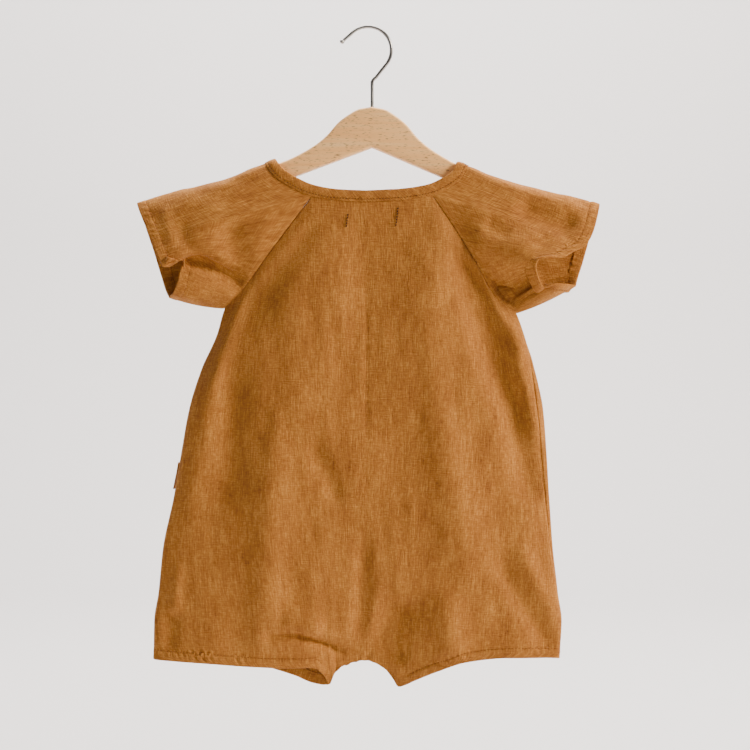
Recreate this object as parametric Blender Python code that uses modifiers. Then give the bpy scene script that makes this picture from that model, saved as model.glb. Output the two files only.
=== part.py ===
"""Baby romper in ochre linen, hanging on a small wooden hanger with a steel hook.

The garment's back faces -Y and its front faces +Y. Its left is at -X. The origin is the point
of the hook that rests on a rail or a nail. All sizes are in metres.
"""

from collections import namedtuple
from math import cos, pi, radians, sin

import bmesh
import bpy
import numpy as np

# ---- driving sizes ---------------------------------------------------------------------------
CLOTH = 0.0012  # thickness of a cloth wall
BAND = 0.0020  # thickness of the folded neck binding
GAP = 0.0005  # clear space between two pieces at a seam
BAND_WIDTH = 0.0085
OVERLAP = 0.010  # half width of the front's button stand
CENTRE_X = -0.0023  # centre line of the garment
BODY_DEPTH = 0.0165  # how far front and back stand from the middle plane at the belly
SLEEVE_BOW = 0.0030  # how far a sleeve's walls bow out half way along

HANGER_X = 0.0035  # centre line of the hanger
HANGER_TILT = 0.0244  # slope of the hanging hanger, its right arm lower
HANGER_THICKNESS = 0.012
HANGER_ROUNDING = 0.0022
WIRE_RADIUS = 0.0014
HOOK_RADIUS = 0.0198  # from the middle of the bend to the wire's centre line
STEM_DEPTH = 0.024  # how far the stem goes into the wood
BUTTON_RADIUS = 0.0062
BUTTON_THICKNESS = 0.0024
BUTTON_COUNT = 6
FIRST_BUTTON = -0.2100  # height of the top button
BUTTON_SPACING = 0.0570
TAB_LENGTH = 0.0225
TAB_WIDTH = 0.008
TAB_TOP = -0.3690

LINEN = (0.392, 0.150, 0.030, 1.0)
BEECH = (0.665, 0.418, 0.235, 1.0)
STEEL = (0.300, 0.290, 0.285, 1.0)
HORN = (0.190, 0.085, 0.035, 1.0)

# ---- tables: one row for each section, seam point or fold ------------------------------------
Side = namedtuple("Side", "z left right roll")
# The body's outline at a height. roll is how far round the right side the seam lies on the back.
SIDES = (
    Side(z=-0.238, left=-0.1222, right=0.1254, roll=0.000),
    Side(z=-0.262, left=-0.1290, right=0.1335, roll=0.000),
    Side(z=-0.290, left=-0.1415, right=0.1415, roll=0.045),
    Side(z=-0.324, left=-0.1520, right=0.1486, roll=0.070),
    Side(z=-0.360, left=-0.1584, right=0.1514, roll=0.070),
    Side(z=-0.400, left=-0.1652, right=0.1538, roll=0.060),
    Side(z=-0.440, left=-0.1738, right=0.1566, roll=0.045),
    Side(z=-0.480, left=-0.1780, right=0.1613, roll=0.020),
    Side(z=-0.503, left=-0.1815, right=0.1645, roll=0.000),
    Side(z=-0.534, left=-0.1820, right=0.1626, roll=0.000),
)

Hem = namedtuple("Hem", "u x back front depth")
# The lower edge from the left side (u = 0) to the right: heights of the back's and the front's
# edge, and how far each stands from the middle plane. The two meet along the crotch seam.
HEMS = (
    Hem(u=0.000, x=-0.1820, back=-0.5340, front=-0.5340, depth=0.0000),
    Hem(u=0.045, x=-0.1806, back=-0.5345, front=-0.5350, depth=0.0052),
    Hem(u=0.120, x=-0.1660, back=-0.5355, front=-0.5368, depth=0.0090),
    Hem(u=0.240, x=-0.1330, back=-0.5375, front=-0.5390, depth=0.0120),
    Hem(u=0.340, x=-0.0960, back=-0.5400, front=-0.5420, depth=0.0125),
    Hem(u=0.400, x=-0.0640, back=-0.5412, front=-0.5505, depth=0.0110),
    Hem(u=0.430, x=-0.0455, back=-0.5412, front=-0.5572, depth=0.0080),
    Hem(u=0.446, x=-0.0370, back=-0.5490, front=-0.5580, depth=0.0035),
    Hem(u=0.455, x=-0.0330, back=-0.5572, front=-0.5574, depth=0.0000),
    Hem(u=0.466, x=-0.0285, back=-0.5475, front=-0.5480, depth=0.0000),
    Hem(u=0.480, x=-0.0215, back=-0.5415, front=-0.5418, depth=0.0000),
    Hem(u=0.510, x=-0.0023, back=-0.5365, front=-0.5368, depth=0.0000),
    Hem(u=0.540, x=0.0140, back=-0.5435, front=-0.5438, depth=0.0000),
    Hem(u=0.555, x=0.0215, back=-0.5525, front=-0.5528, depth=0.0000),
    Hem(u=0.566, x=0.0263, back=-0.5590, front=-0.5595, depth=0.0000),
    Hem(u=0.585, x=0.0385, back=-0.5532, front=-0.5550, depth=0.0045),
    Hem(u=0.620, x=0.0560, back=-0.5455, front=-0.5475, depth=0.0080),
    Hem(u=0.680, x=0.0830, back=-0.5360, front=-0.5380, depth=0.0115),
    Hem(u=0.780, x=0.1170, back=-0.5325, front=-0.5345, depth=0.0120),
    Hem(u=0.890, x=0.1470, back=-0.5328, front=-0.5340, depth=0.0090),
    Hem(u=0.960, x=0.1611, back=-0.5335, front=-0.5340, depth=0.0050),
    Hem(u=1.000, x=0.1626, back=-0.5340, front=-0.5340, depth=0.0000),
)

Raglan = namedtuple("Raglan", "f left_x left_z right_x right_z front_left_x front_left_z front_right_x front_right_z")
# The seams between body and sleeves, from the underarm (f = 0) to the neck (f = 1).
RAGLANS = (
    Raglan(0.00, -0.1222, -0.2380, 0.1265, -0.2420, -0.1222, -0.2380, 0.1265, -0.2420),
    Raglan(0.18, -0.1062, -0.2222, 0.1085, -0.2290, -0.1090, -0.2265, 0.1120, -0.2310),
    Raglan(0.50, -0.0835, -0.1915, 0.0880, -0.1935, -0.0860, -0.2020, 0.0880, -0.2050),
    Raglan(1.00, -0.0468, -0.1428, 0.0535, -0.1418, -0.0540, -0.1660, 0.0490, -0.1660),
)

Neck = namedtuple("Neck", "x y z lean_x lean_z")
# The seam between the neck binding and the garment on one side, from the middle of the back
# over the hanger's arm to the middle of the front. lean points across the binding.
NECK_LEFT = (
    Neck(x=-0.0023, y=-0.0108, z=-0.1475, lean_x=0.00, lean_z=1.00),
    Neck(x=-0.0260, y=-0.0106, z=-0.1464, lean_x=0.10, lean_z=1.00),
    Neck(x=-0.0468, y=-0.0102, z=-0.1428, lean_x=0.30, lean_z=0.95),
    Neck(x=-0.0650, y=-0.0096, z=-0.1350, lean_x=0.55, lean_z=0.83),
    Neck(x=-0.0790, y=-0.0089, z=-0.1250, lean_x=0.78, lean_z=0.62),
    Neck(x=-0.0848, y=-0.0068, z=-0.1174, lean_x=0.92, lean_z=0.40),
    Neck(x=-0.0863, y=0.0000, z=-0.1148, lean_x=0.93, lean_z=0.36),
    Neck(x=-0.0848, y=0.0068, z=-0.1176, lean_x=0.92, lean_z=0.40),
    Neck(x=-0.0800, y=0.0090, z=-0.1270, lean_x=0.88, lean_z=0.48),
    Neck(x=-0.0700, y=0.0100, z=-0.1450, lean_x=0.84, lean_z=0.55),
    Neck(x=-0.0540, y=0.0108, z=-0.1660, lean_x=0.65, lean_z=0.76),
    Neck(x=-0.0320, y=0.0116, z=-0.1800, lean_x=0.30, lean_z=0.95),
    Neck(x=-0.0150, y=0.0119, z=-0.1850, lean_x=0.12, lean_z=0.99),
    Neck(x=-0.0023, y=0.0120, z=-0.1858, lean_x=0.00, lean_z=1.00),
)
NECK_RIGHT = (
    Neck(x=-0.0023, y=-0.0108, z=-0.1475, lean_x=0.00, lean_z=1.00),
    Neck(x=0.0280, y=-0.0106, z=-0.1460, lean_x=-0.10, lean_z=1.00),
    Neck(x=0.0535, y=-0.0102, z=-0.1418, lean_x=-0.32, lean_z=0.95),
    Neck(x=0.0680, y=-0.0096, z=-0.1350, lean_x=-0.55, lean_z=0.83),
    Neck(x=0.0785, y=-0.0089, z=-0.1270, lean_x=-0.78, lean_z=0.62),
    Neck(x=0.0828, y=-0.0070, z=-0.1184, lean_x=-0.92, lean_z=0.40),
    Neck(x=0.0842, y=0.0000, z=-0.1172, lean_x=-0.93, lean_z=0.36),
    Neck(x=0.0828, y=0.0070, z=-0.1186, lean_x=-0.92, lean_z=0.40),
    Neck(x=0.0785, y=0.0090, z=-0.1290, lean_x=-0.88, lean_z=0.48),
    Neck(x=0.0670, y=0.0100, z=-0.1460, lean_x=-0.84, lean_z=0.55),
    Neck(x=0.0490, y=0.0108, z=-0.1660, lean_x=-0.65, lean_z=0.76),
    Neck(x=0.0275, y=0.0116, z=-0.1800, lean_x=-0.30, lean_z=0.95),
    Neck(x=0.0104, y=0.0119, z=-0.1850, lean_x=-0.12, lean_z=0.99),
    Neck(x=-0.0023, y=0.0120, z=-0.1858, lean_x=0.00, lean_z=1.00),
)
NECK_BACK_ROW, NECK_FRONT_ROW = 2, 10  # the rows where the raglan seams meet the binding

Cuff = namedtuple("Cuff", "run x y z lift")
# A sleeve's open edge. run says which lengthwise line ends there: 0 to 1 up the back raglan
# seam, 1 to 3 along the neck and over the shoulder (2), 3 to 4 down the front raglan seam. lift is
# how far that line arches up on its way.
CUFF_LEFT = (
    Cuff(run=0.00, x=-0.1683, y=-0.0010, z=-0.2288, lift=0.000),
    Cuff(run=0.05, x=-0.1640, y=-0.0110, z=-0.2262, lift=0.000),
    Cuff(run=0.10, x=-0.1592, y=-0.0165, z=-0.2160, lift=0.000),
    Cuff(run=0.14, x=-0.1570, y=-0.0130, z=-0.2050, lift=0.000),
    Cuff(run=0.18, x=-0.1556, y=-0.0070, z=-0.1978, lift=0.000),
    Cuff(run=0.23, x=-0.1600, y=-0.0085, z=-0.1975, lift=0.006),
    Cuff(run=0.30, x=-0.1665, y=-0.0165, z=-0.2030, lift=0.010),
    Cuff(run=0.40, x=-0.1705, y=-0.0205, z=-0.2035, lift=0.009),
    Cuff(run=0.60, x=-0.1750, y=-0.0190, z=-0.1965, lift=0.005),
    Cuff(run=1.00, x=-0.1805, y=-0.0150, z=-0.1830, lift=0.002),
    Cuff(run=1.45, x=-0.1870, y=-0.0110, z=-0.1685, lift=0.000),
    Cuff(run=1.80, x=-0.1932, y=-0.0055, z=-0.1545, lift=0.000),
    Cuff(run=2.00, x=-0.1955, y=0.0000, z=-0.1487, lift=0.000),
    Cuff(run=2.20, x=-0.1930, y=0.0060, z=-0.1560, lift=0.000),
    Cuff(run=2.60, x=-0.1880, y=0.0110, z=-0.1725, lift=0.000),
    Cuff(run=3.00, x=-0.1830, y=0.0135, z=-0.1880, lift=0.000),
    Cuff(run=3.50, x=-0.1770, y=0.0125, z=-0.2075, lift=0.000),
    Cuff(run=3.85, x=-0.1715, y=0.0080, z=-0.2235, lift=0.000),
)
CUFF_RIGHT = (
    Cuff(run=0.00, x=0.1760, y=0.0000, z=-0.2190, lift=0.000),
    Cuff(run=0.03, x=0.1665, y=-0.0080, z=-0.2185, lift=0.000),
    Cuff(run=0.06, x=0.1575, y=-0.0120, z=-0.2180, lift=0.000),
    Cuff(run=0.10, x=0.1487, y=-0.0128, z=-0.2212, lift=0.000),
    Cuff(run=0.16, x=0.1427, y=-0.0165, z=-0.2125, lift=0.000),
    Cuff(run=0.26, x=0.1404, y=-0.0200, z=-0.2040, lift=0.000),
    Cuff(run=0.38, x=0.1430, y=-0.0220, z=-0.1970, lift=0.000),
    Cuff(run=0.50, x=0.1520, y=-0.0215, z=-0.1953, lift=0.000),
    Cuff(run=0.66, x=0.1625, y=-0.0190, z=-0.1950, lift=0.000),
    Cuff(run=0.82, x=0.1730, y=-0.0160, z=-0.1900, lift=0.000),
    Cuff(run=1.00, x=0.1825, y=-0.0135, z=-0.1850, lift=0.000),
    Cuff(run=1.40, x=0.1888, y=-0.0105, z=-0.1750, lift=0.000),
    Cuff(run=1.75, x=0.1935, y=-0.0065, z=-0.1600, lift=0.000),
    Cuff(run=2.00, x=0.1960, y=0.0000, z=-0.1495, lift=0.000),
    Cuff(run=2.25, x=0.1938, y=0.0065, z=-0.1590, lift=0.000),
    Cuff(run=2.60, x=0.1905, y=0.0110, z=-0.1720, lift=0.000),
    Cuff(run=3.00, x=0.1870, y=0.0130, z=-0.1845, lift=0.000),
    Cuff(run=3.50, x=0.1825, y=0.0115, z=-0.2000, lift=0.000),
    Cuff(run=3.85, x=0.1780, y=0.0060, z=-0.2125, lift=0.000),
)

Shoulder = namedtuple("Shoulder", "t left right")
# How far the top of a sleeve lies below a straight line, from the neck (t = 0) to the cuff.
SHOULDERS = (
    Shoulder(t=0.00, left=0.0000, right=0.0000),
    Shoulder(t=0.16, left=0.0018, right=0.0012),
    Shoulder(t=0.33, left=0.0032, right=0.0017),
    Shoulder(t=0.50, left=0.0016, right=0.0015),
    Shoulder(t=0.67, left=-0.0002, right=0.0010),
    Shoulder(t=1.00, left=0.0000, right=0.0000),
)

Fold = namedtuple("Fold", "x0 z0 x1 z1 width rise")
# Soft folds: a ridge (rise > 0) or a trough (rise < 0) along a line, with a half width.
BACK_FOLDS = (
    Fold(x0=-0.092, z0=-0.205, x1=-0.125, z1=-0.330, width=0.011, rise=0.0040),
    Fold(x0=-0.108, z0=-0.300, x1=-0.118, z1=-0.460, width=0.018, rise=-0.0030),
    Fold(x0=-0.002, z0=-0.240, x1=-0.001, z1=-0.345, width=0.014, rise=-0.0022),
    Fold(x0=0.068, z0=-0.185, x1=0.085, z1=-0.330, width=0.016, rise=0.0040),
    Fold(x0=0.097, z0=-0.228, x1=0.140, z1=-0.400, width=0.012, rise=-0.0060),
    Fold(x0=0.095, z0=-0.400, x1=0.108, z1=-0.500, width=0.022, rise=0.0040),
    Fold(x0=0.112, z0=-0.455, x1=0.152, z1=-0.520, width=0.012, rise=-0.0040),
    Fold(x0=0.035, z0=-0.540, x1=0.048, z1=-0.470, width=0.014, rise=-0.0055),
    Fold(x0=-0.095, z0=-0.5135, x1=-0.022, z1=-0.530, width=0.006, rise=-0.0032),
    Fold(x0=-0.060, z0=-0.400, x1=-0.075, z1=-0.500, width=0.022, rise=0.0030),
    Fold(x0=-0.030, z0=-0.370, x1=-0.028, z1=-0.420, width=0.014, rise=-0.0025),
)
FRONT_FOLDS = (
    Fold(x0=-0.090, z0=-0.215, x1=-0.122, z1=-0.350, width=0.013, rise=0.0035),
    Fold(x0=-0.100, z0=-0.330, x1=-0.125, z1=-0.500, width=0.017, rise=-0.0045),
    Fold(x0=-0.060, z0=-0.260, x1=-0.068, z1=-0.470, width=0.020, rise=0.0030),
    Fold(x0=0.090, z0=-0.215, x1=0.128, z1=-0.380, width=0.012, rise=-0.0050),
    Fold(x0=0.060, z0=-0.240, x1=0.078, z1=-0.440, width=0.018, rise=0.0035),
    Fold(x0=0.100, z0=-0.420, x1=0.125, z1=-0.520, width=0.016, rise=0.0035),
    Fold(x0=0.038, z0=-0.540, x1=0.052, z1=-0.450, width=0.013, rise=-0.0045),
    Fold(x0=-0.045, z0=-0.545, x1=-0.058, z1=-0.450, width=0.013, rise=-0.0045),
)

Wood = namedtuple("Wood", "out top")
# Upper edge of one arm of the hanger: distance from its centre line, and height.
WOOD_TOP = (
    Wood(out=0.0000, top=-0.0674),
    Wood(out=0.0105, top=-0.0692),
    Wood(out=0.0205, top=-0.0748),
    Wood(out=0.0293, top=-0.0819),
    Wood(out=0.0380, top=-0.0921),
    Wood(out=0.0480, top=-0.1007),
    Wood(out=0.0595, top=-0.1079),
    Wood(out=0.0690, top=-0.1129),
    Wood(out=0.0777, top=-0.1165),
    Wood(out=0.1000, top=-0.1250),
    Wood(out=0.1200, top=-0.1328),
)
WOOD_NOSE = ((0.1252, -0.1362), (0.1275, -0.1415), (0.1262, -0.1475), (0.1215, -0.1504))
WOOD_INNER_TOP = -0.1015  # where the two arms' lower edges meet

# ---- grid sizes ------------------------------------------------------------------------------
BODY_ROWS = 17
SLIVER = 0.008  # a narrow column at a side seam, so that the two walls meet squarely
# Shares of a raglan seam where both its pieces have a point, and cells along a sleeve's neck seam.
SEAM_STATIONS = (0, 0.03, 0.06, 0.10, 0.14, 0.18, 0.23, 0.30, 0.40, 0.55, 0.75, 1)
SLEEVE_NECK_CELLS = 16
RAGLAN_EASE = 1.6  # how columns crowd towards the underarm
SLEEVE_ROWS = 8


def hermite(t, a, b, da, db):
    """The cubic from a to b with slopes da and db, at t from 0 to 1."""
    rise = 3 * t**2 - 2 * t**3
    return (1 - rise) * a + rise * b + (t**3 - 2 * t**2 + t) * da + (t**3 - t**2) * db


def through(knots, values, at):
    """A smooth curve through values at rising knots, which never swings past a value (PCHIP)."""
    knots = np.asarray(knots, float)
    values = np.asarray(values, float)
    at = np.clip(np.asarray(at, float), knots[0], knots[-1])
    step = np.diff(knots)
    slope = np.diff(values) / step
    product = slope[:-1] * slope[1:]
    together = slope[:-1] + slope[1:]
    inner = np.where(product > 0, 2 * product / np.where(together == 0, 1, together), 0.0)
    slopes = np.concatenate([slope[:1], inner, slope[-1:]])
    k = np.clip(np.searchsorted(knots, at, side="right") - 1, 0, len(step) - 1)
    t = (at - knots[k]) / step[k]
    return hermite(t, values[k], values[k + 1], slopes[k] * step[k], slopes[k + 1] * step[k])


def column(table, name):
    """One named column of a table, as an array."""
    return np.array([getattr(row, name) for row in table])


def smooth_step(t):
    t = np.clip(t, 0, 1)
    return t * t * (3 - 2 * t)


def folds_at(table, x, z):
    """How far the folds of a table lift the cloth at x, z."""
    lift = np.zeros_like(x)
    for fold in table:
        along = np.array([fold.x1 - fold.x0, fold.z1 - fold.z0])
        length = np.hypot(*along)
        along = along / length
        s = ((x - fold.x0) * along[0] + (z - fold.z0) * along[1]) / length
        aside = (x - fold.x0) * along[1] - (z - fold.z0) * along[0]
        ends = smooth_step(s / 0.35 + 0.5) * smooth_step((1 - s) / 0.35 + 0.5)
        lift += fold.rise * ends * np.exp(-((aside / fold.width) ** 2))
    return lift


# ---- seams shared by the pieces --------------------------------------------------------------
def raglan(side, face, f):
    """Points of a raglan seam at f; side is -1 left or 1 right, face is -1 back or 1 front."""
    name = ("front_" if face > 0 else "") + ("left" if side < 0 else "right")
    neck = (NECK_LEFT if side < 0 else NECK_RIGHT)[NECK_FRONT_ROW if face > 0 else NECK_BACK_ROW]
    rows = column(RAGLANS, "f")
    x = through(rows, column(RAGLANS, name + "_x"), f)
    z = through(rows, column(RAGLANS, name + "_z"), f)
    y = neck.y * np.sin(pi / 2 * np.asarray(f)) ** 0.8
    return np.stack([x, y, z], -1)


def neck_seam(side, row):
    """Points of the neck seam and the direction across the binding, at a row number of its table."""
    table = NECK_LEFT if side < 0 else NECK_RIGHT
    rows = np.arange(len(table))
    seam = np.stack([through(rows, column(table, c), row) for c in "xyz"], -1)
    lean_x = through(rows, column(table, "lean_x"), row)
    lean_z = through(rows, column(table, "lean_z"), row)
    lean = np.stack([lean_x, np.zeros_like(lean_x), lean_z], -1)
    return seam, lean / np.linalg.norm(lean, axis=-1, keepdims=True)


LEFT_CORNER_U, RIGHT_CORNER_U = 0.37, 0.63  # columns of a body panel that meet the neck corners
LEFT_LEG_U, RIGHT_LEG_U = 0.455, 0.566  # columns that end where a leg's hem meets the crotch seam
ROLL_SPAN = 0.1  # share of a panel's width over which the roll of the right side seam fades out


def raglan_share(u):
    """How far up its raglan seam (f) a column u of a body panel ends; 1 or more at the neck."""
    share = np.minimum(u / LEFT_CORNER_U, (1 - u) / (1 - RIGHT_CORNER_U))
    return np.clip(share, 0, 2) ** RAGLAN_EASE


def top_edge(face, u):
    """The body panel's upper edge: raglan seam, neck, raglan seam."""
    row = NECK_FRONT_ROW if face > 0 else NECK_BACK_ROW
    middle_row = len(NECK_LEFT) - 1 if face > 0 else 0
    half_u = (LEFT_CORNER_U + RIGHT_CORNER_U) / 2
    left = raglan(-1, face, raglan_share(np.minimum(u, LEFT_CORNER_U)))
    right = raglan(1, face, raglan_share(np.maximum(u, RIGHT_CORNER_U)))
    to_middle = np.clip((u - LEFT_CORNER_U) / (half_u - LEFT_CORNER_U), 0, 1)
    from_middle = np.clip((u - half_u) / (RIGHT_CORNER_U - half_u), 0, 1)
    neck_left = neck_seam(-1, row + (middle_row - row) * to_middle)[0]
    neck_right = neck_seam(1, middle_row + (row - middle_row) * from_middle)[0]
    choice = [u[..., None] < LEFT_CORNER_U, u[..., None] < half_u, u[..., None] < RIGHT_CORNER_U]
    return np.select(choice, [left, neck_left, neck_right], right)


def panel(face, u, v):
    """Points of the back (face -1) or the front (face 1): u across from the left side, v down.

    x and z run between the two sides, corrected to meet the upper and the lower edge (a Coons
    patch). y is a rounded section that opens to BODY_DEPTH, follows the upper edge at the top and
    the hems and the crotch seam at the bottom.
    """
    top = top_edge(face, u)
    rows = column(HEMS, "u")
    low_x = through(rows, column(HEMS, "x"), u)
    low_z = through(rows, column(HEMS, "front" if face > 0 else "back"), u)
    heights = -column(SIDES, "z")
    z_ends = (RAGLANS[0].left_z, RAGLANS[0].right_z, HEMS[0].back, HEMS[-1].back)
    left_z = z_ends[0] + (z_ends[2] - z_ends[0]) * v
    right_z = z_ends[1] + (z_ends[3] - z_ends[1]) * v
    left_x = through(heights, column(SIDES, "left"), -left_z)
    right_x = through(heights, column(SIDES, "right"), -right_z)
    left_ends = through(heights, column(SIDES, "left"), [-z_ends[0], -z_ends[2]])
    right_ends = through(heights, column(SIDES, "right"), [-z_ends[1], -z_ends[3]])
    x_ends = (left_ends[0], right_ends[0], left_ends[1], right_ends[1])
    across = (1 - np.cos(pi * u)) / 2

    def spanned(left, right, upper, lower, ends, power):
        top_left, top_right, low_left, low_right = ends
        from_top = upper - (1 - across) * top_left - across * top_right
        from_low = lower - (1 - across) * low_left - across * low_right
        return (1 - across) * left + across * right + (1 - v) ** power * from_top + v**power * from_low

    x = spanned(left_x, right_x, top[..., 0], low_x, x_ends, 3)
    z = spanned(left_z, right_z, top[..., 2], low_z, z_ends, 1)
    rounded = np.sin(pi * u) ** (1.15 - 0.4 * smooth_step(v / 0.35))
    pinch = (CLOTH + GAP) / 2 * np.tanh(np.minimum(u, 1 - u) / 0.004) * smooth_step(v / 0.05)
    near_top = (1 - v) ** 3
    near_low = v**6
    depth = (
        near_top * np.abs(top[..., 1])
        + (1 - near_top) * (1 - near_low) * BODY_DEPTH * rounded
        + near_low * through(rows, column(HEMS, "depth"), u)
        + pinch
    )
    free = smooth_step(u / 0.10) * smooth_step((1 - u) / 0.10) * smooth_step((v - 0.02) / 0.16)
    crotch = smooth_step((u - 0.43) / 0.02) * smooth_step((0.60 - u) / 0.02)
    free = free * (1 - crotch * smooth_step((v - 0.86) / 0.12))
    lift = folds_at(FRONT_FOLDS if face > 0 else BACK_FOLDS, x, z) * free
    return np.stack([x, face * (depth + lift), z], -1)


def body(turn, v):
    """Points of the whole body: turn 0 to 1 is the back from left to right, 1 to 2 the front."""
    back = panel(-1, np.clip(turn, 0, 1), v)
    front = panel(1, np.clip(2 - turn, 0, 1), v)
    return np.where(turn[..., None] <= 1, back, front)


# ---- making meshes ---------------------------------------------------------------------------
def material(name, colour, roughness, metallic=0.0):
    made = bpy.data.materials.new(name)
    made.use_nodes = True
    shader = made.node_tree.nodes["Principled BSDF"]
    shader.inputs["Base Color"].default_value = colour
    shader.inputs["Roughness"].default_value = roughness
    shader.inputs["Metallic"].default_value = metallic
    return made


def place(name, data, stuff):
    """An object in the romper's collection."""
    made = bpy.data.objects.new(name, data)
    made.data.materials.append(stuff)
    romper.objects.link(made)
    return made


def cloth(name, points, stuff, thickness=CLOTH, closed=False):
    """A wall of cloth on a grid of points; closed joins the last column to the first."""
    rows, columns = points.shape[:2]
    index = np.arange(rows * columns).reshape(rows, columns)
    if closed:
        index = np.concatenate([index, index[:, :1]], axis=1)
    quads = np.stack([index[:-1, :-1], index[:-1, 1:], index[1:, 1:], index[1:, :-1]], -1)
    mesh = bpy.data.meshes.new(name)
    mesh.from_pydata(points.reshape(-1, 3).tolist(), [], quads.reshape(-1, 4).tolist())
    mesh.shade_smooth()
    made = place(name, mesh, stuff)
    wall = made.modifiers.new("Cloth", "SOLIDIFY")
    wall.thickness = thickness
    wall.offset = 0
    return made


def drawn_in(edge, inner, distance, closed=False):
    """An edge moved a distance in its surface, square to itself, towards the next row."""
    along = np.roll(edge, -1, 0) - np.roll(edge, 1, 0) if closed else np.gradient(edge, axis=0)
    along = along / np.linalg.norm(along, axis=-1, keepdims=True)
    way = inner - edge
    way = way - (way * along).sum(-1, keepdims=True) * along
    way = way / np.linalg.norm(way, axis=-1, keepdims=True)
    return edge + way * np.reshape(distance, (-1, 1))


def steps(breaks, cells):
    """Values from the first break to the last, with that many cells between each pair."""
    parts = [np.linspace(a, b, n, endpoint=False) for a, b, n in zip(breaks, breaks[1:], cells)]
    return np.concatenate(parts + [[breaks[-1]]])


def gap_at(f):
    """Half the gap along a raglan seam: wider at the underarm and the neck, where three pieces meet."""
    at_turn = 0.0002 * np.exp(-(((f - 0.27) / 0.14) ** 2))
    at_neck = 0.0005 * np.exp(-((f - 1) ** 2) / 0.03)
    return GAP / 2 + 0.00015 + 0.0009 * np.exp(-f / 0.06) + at_turn + at_neck


# ---- body panels -----------------------------------------------------------------------------
def seam_turn(v):
    """Where the right side seam lies, as a turn: rolled a little onto the back at mid height."""
    z = RAGLANS[0].right_z + (HEMS[-1].back - RAGLANS[0].right_z) * v
    return 1 - through(-column(SIDES, "z"), column(SIDES, "roll"), -z)


def clear_of_seams(grid, u, left, right):
    """The grid with its top row and the chosen side columns drawn in by half a gap."""
    made = grid.copy()
    made[0] = drawn_in(grid[0], grid[1], gap_at(raglan_share(u)))
    if left:
        made[:, 0] = drawn_in(made[:, 0], made[:, 1], GAP / 2)
    if right:
        made[:, -1] = drawn_in(made[:, -1], made[:, -2], GAP / 2 + 0.0002)
    return made


def side_columns(side, extra):
    """The columns from a neck corner out to the side: one at each seam station, and extra ones."""
    reach = LEFT_CORNER_U if side < 0 else 1 - RIGHT_CORNER_U
    across = [reach * f ** (1 / RAGLAN_EASE) for f in SEAM_STATIONS] + list(extra)
    across = np.sort(across)[::-1]
    return across if side < 0 else 1 - across


def settled(u, v):
    """The columns of every row, with the slivers wider close to the underarm."""
    edge = np.minimum(u, 1 - u)
    is_sliver = np.exp(-(((edge - SLIVER) / 0.002) ** 2))
    return u + 0.012 * is_sliver * (1 - v) ** 20 * np.where(u < 0.5, 1, -1)


def make_back(stuff):
    inner = steps((LEFT_CORNER_U, LEFT_LEG_U, RIGHT_LEG_U, RIGHT_CORNER_U), (4, 5, 4))
    left, right = side_columns(-1, (SLIVER,)), side_columns(1, (SLIVER,))
    u = np.concatenate([left[::-1], inner[1:-1], right])
    v = np.linspace(0, 1, BODY_ROWS + 1)[:, None]
    last = seam_turn(v)
    turn = settled(u[None, :] * np.ones_like(v), v)
    turn[:, -2:-1] -= 0.3 * (1 - last)
    start = 1 - ROLL_SPAN
    turn = np.where(turn > start, start + (turn - start) * (last - start) / ROLL_SPAN, turn)
    grid = body(turn, v * np.ones_like(turn))
    cloth("back_panel", clear_of_seams(grid, u, True, True), stuff)


def share_across(v, x):
    """The u at which the front crosses a vertical line, for each row v."""
    u = np.linspace(0.40, 0.62, 221)[None, :]
    lines = panel(1, u * np.ones_like(v), v * np.ones_like(u))[..., 0]
    return np.array([np.interp(x, line, u[0]) for line in lines])


def make_front(name, side, stuff):
    """One front, from its edge on the button stand to its side seam; gives its grid of points.

    The left one (side -1) lies over the right one along the stand.
    """
    v = np.linspace(0, 1, BODY_ROWS + 1)[:, None]
    edge = share_across(v, CENTRE_X - side * OVERLAP)[:, None]
    middle = share_across(v, CENTRE_X)[:, None]
    leg, corner = (LEFT_LEG_U, LEFT_CORNER_U) if side < 0 else (RIGHT_LEG_U, RIGHT_CORNER_U)
    t = np.linspace(0, 1, 4)[None, :]
    outer = steps((leg, corner), (5,))[None, :-1]
    near = side_columns(side, (SLIVER, 0.02) if side > 0 else (SLIVER,))[None, :]
    turn = 2 - np.concatenate(
        [
            (edge + (middle - edge) * t)[:, :-1],
            (middle + (leg - middle) * t)[:, :-1],
            outer * np.ones_like(v),
            settled(near * np.ones_like(v), v),
        ],
        axis=1,
    )
    if side > 0:
        start = 1 + ROLL_SPAN
        turn = np.where(turn < start, start + (turn - start) * (start - seam_turn(v)) / ROLL_SPAN, turn)
    grid = body(turn, v * np.ones_like(turn))
    if side < 0:
        grid += over_direction(grid, v) * (lapped(grid[..., 0]) * (CLOTH + GAP))[..., None]
    grid = clear_of_seams(grid, 2 - turn[0], False, True)
    cloth(name, grid, stuff)
    return grid


def over_direction(grid, v):
    """The direction in which a layer lies over the right front: +Y, square to the cloth low down."""
    square = np.cross(np.gradient(grid, axis=0), np.gradient(grid, axis=1))
    square *= np.sign(square[..., 1:2])
    square /= np.linalg.norm(square, axis=-1, keepdims=True)
    way = square * v[..., None] ** 4 + np.array([0, 1, 0]) * (1 - v[..., None] ** 4)
    return way / np.linalg.norm(way, axis=-1, keepdims=True)


def lapped(x):
    """How far the left front and the left half of the binding are lifted over the right: 0 to 1."""
    return smooth_step((x - CENTRE_X + 0.030) / 0.016)


# ---- sleeves ---------------------------------------------------------------------------------
def sleeve_edge(side, run):
    """The sleeve's inner edge at a run (see Cuff), and the direction of its seam gap."""
    back = raglan(side, -1, np.clip(run, 0, 1))
    front = raglan(side, 1, np.clip(4 - run, 0, 1))
    row = NECK_BACK_ROW + (NECK_FRONT_ROW - NECK_BACK_ROW) * np.clip((run - 1) / 2, 0, 1)
    neck = neck_seam(side, row)[0]
    return np.select([run[..., None] < 1, run[..., None] <= 3], [back, neck], front)


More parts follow.
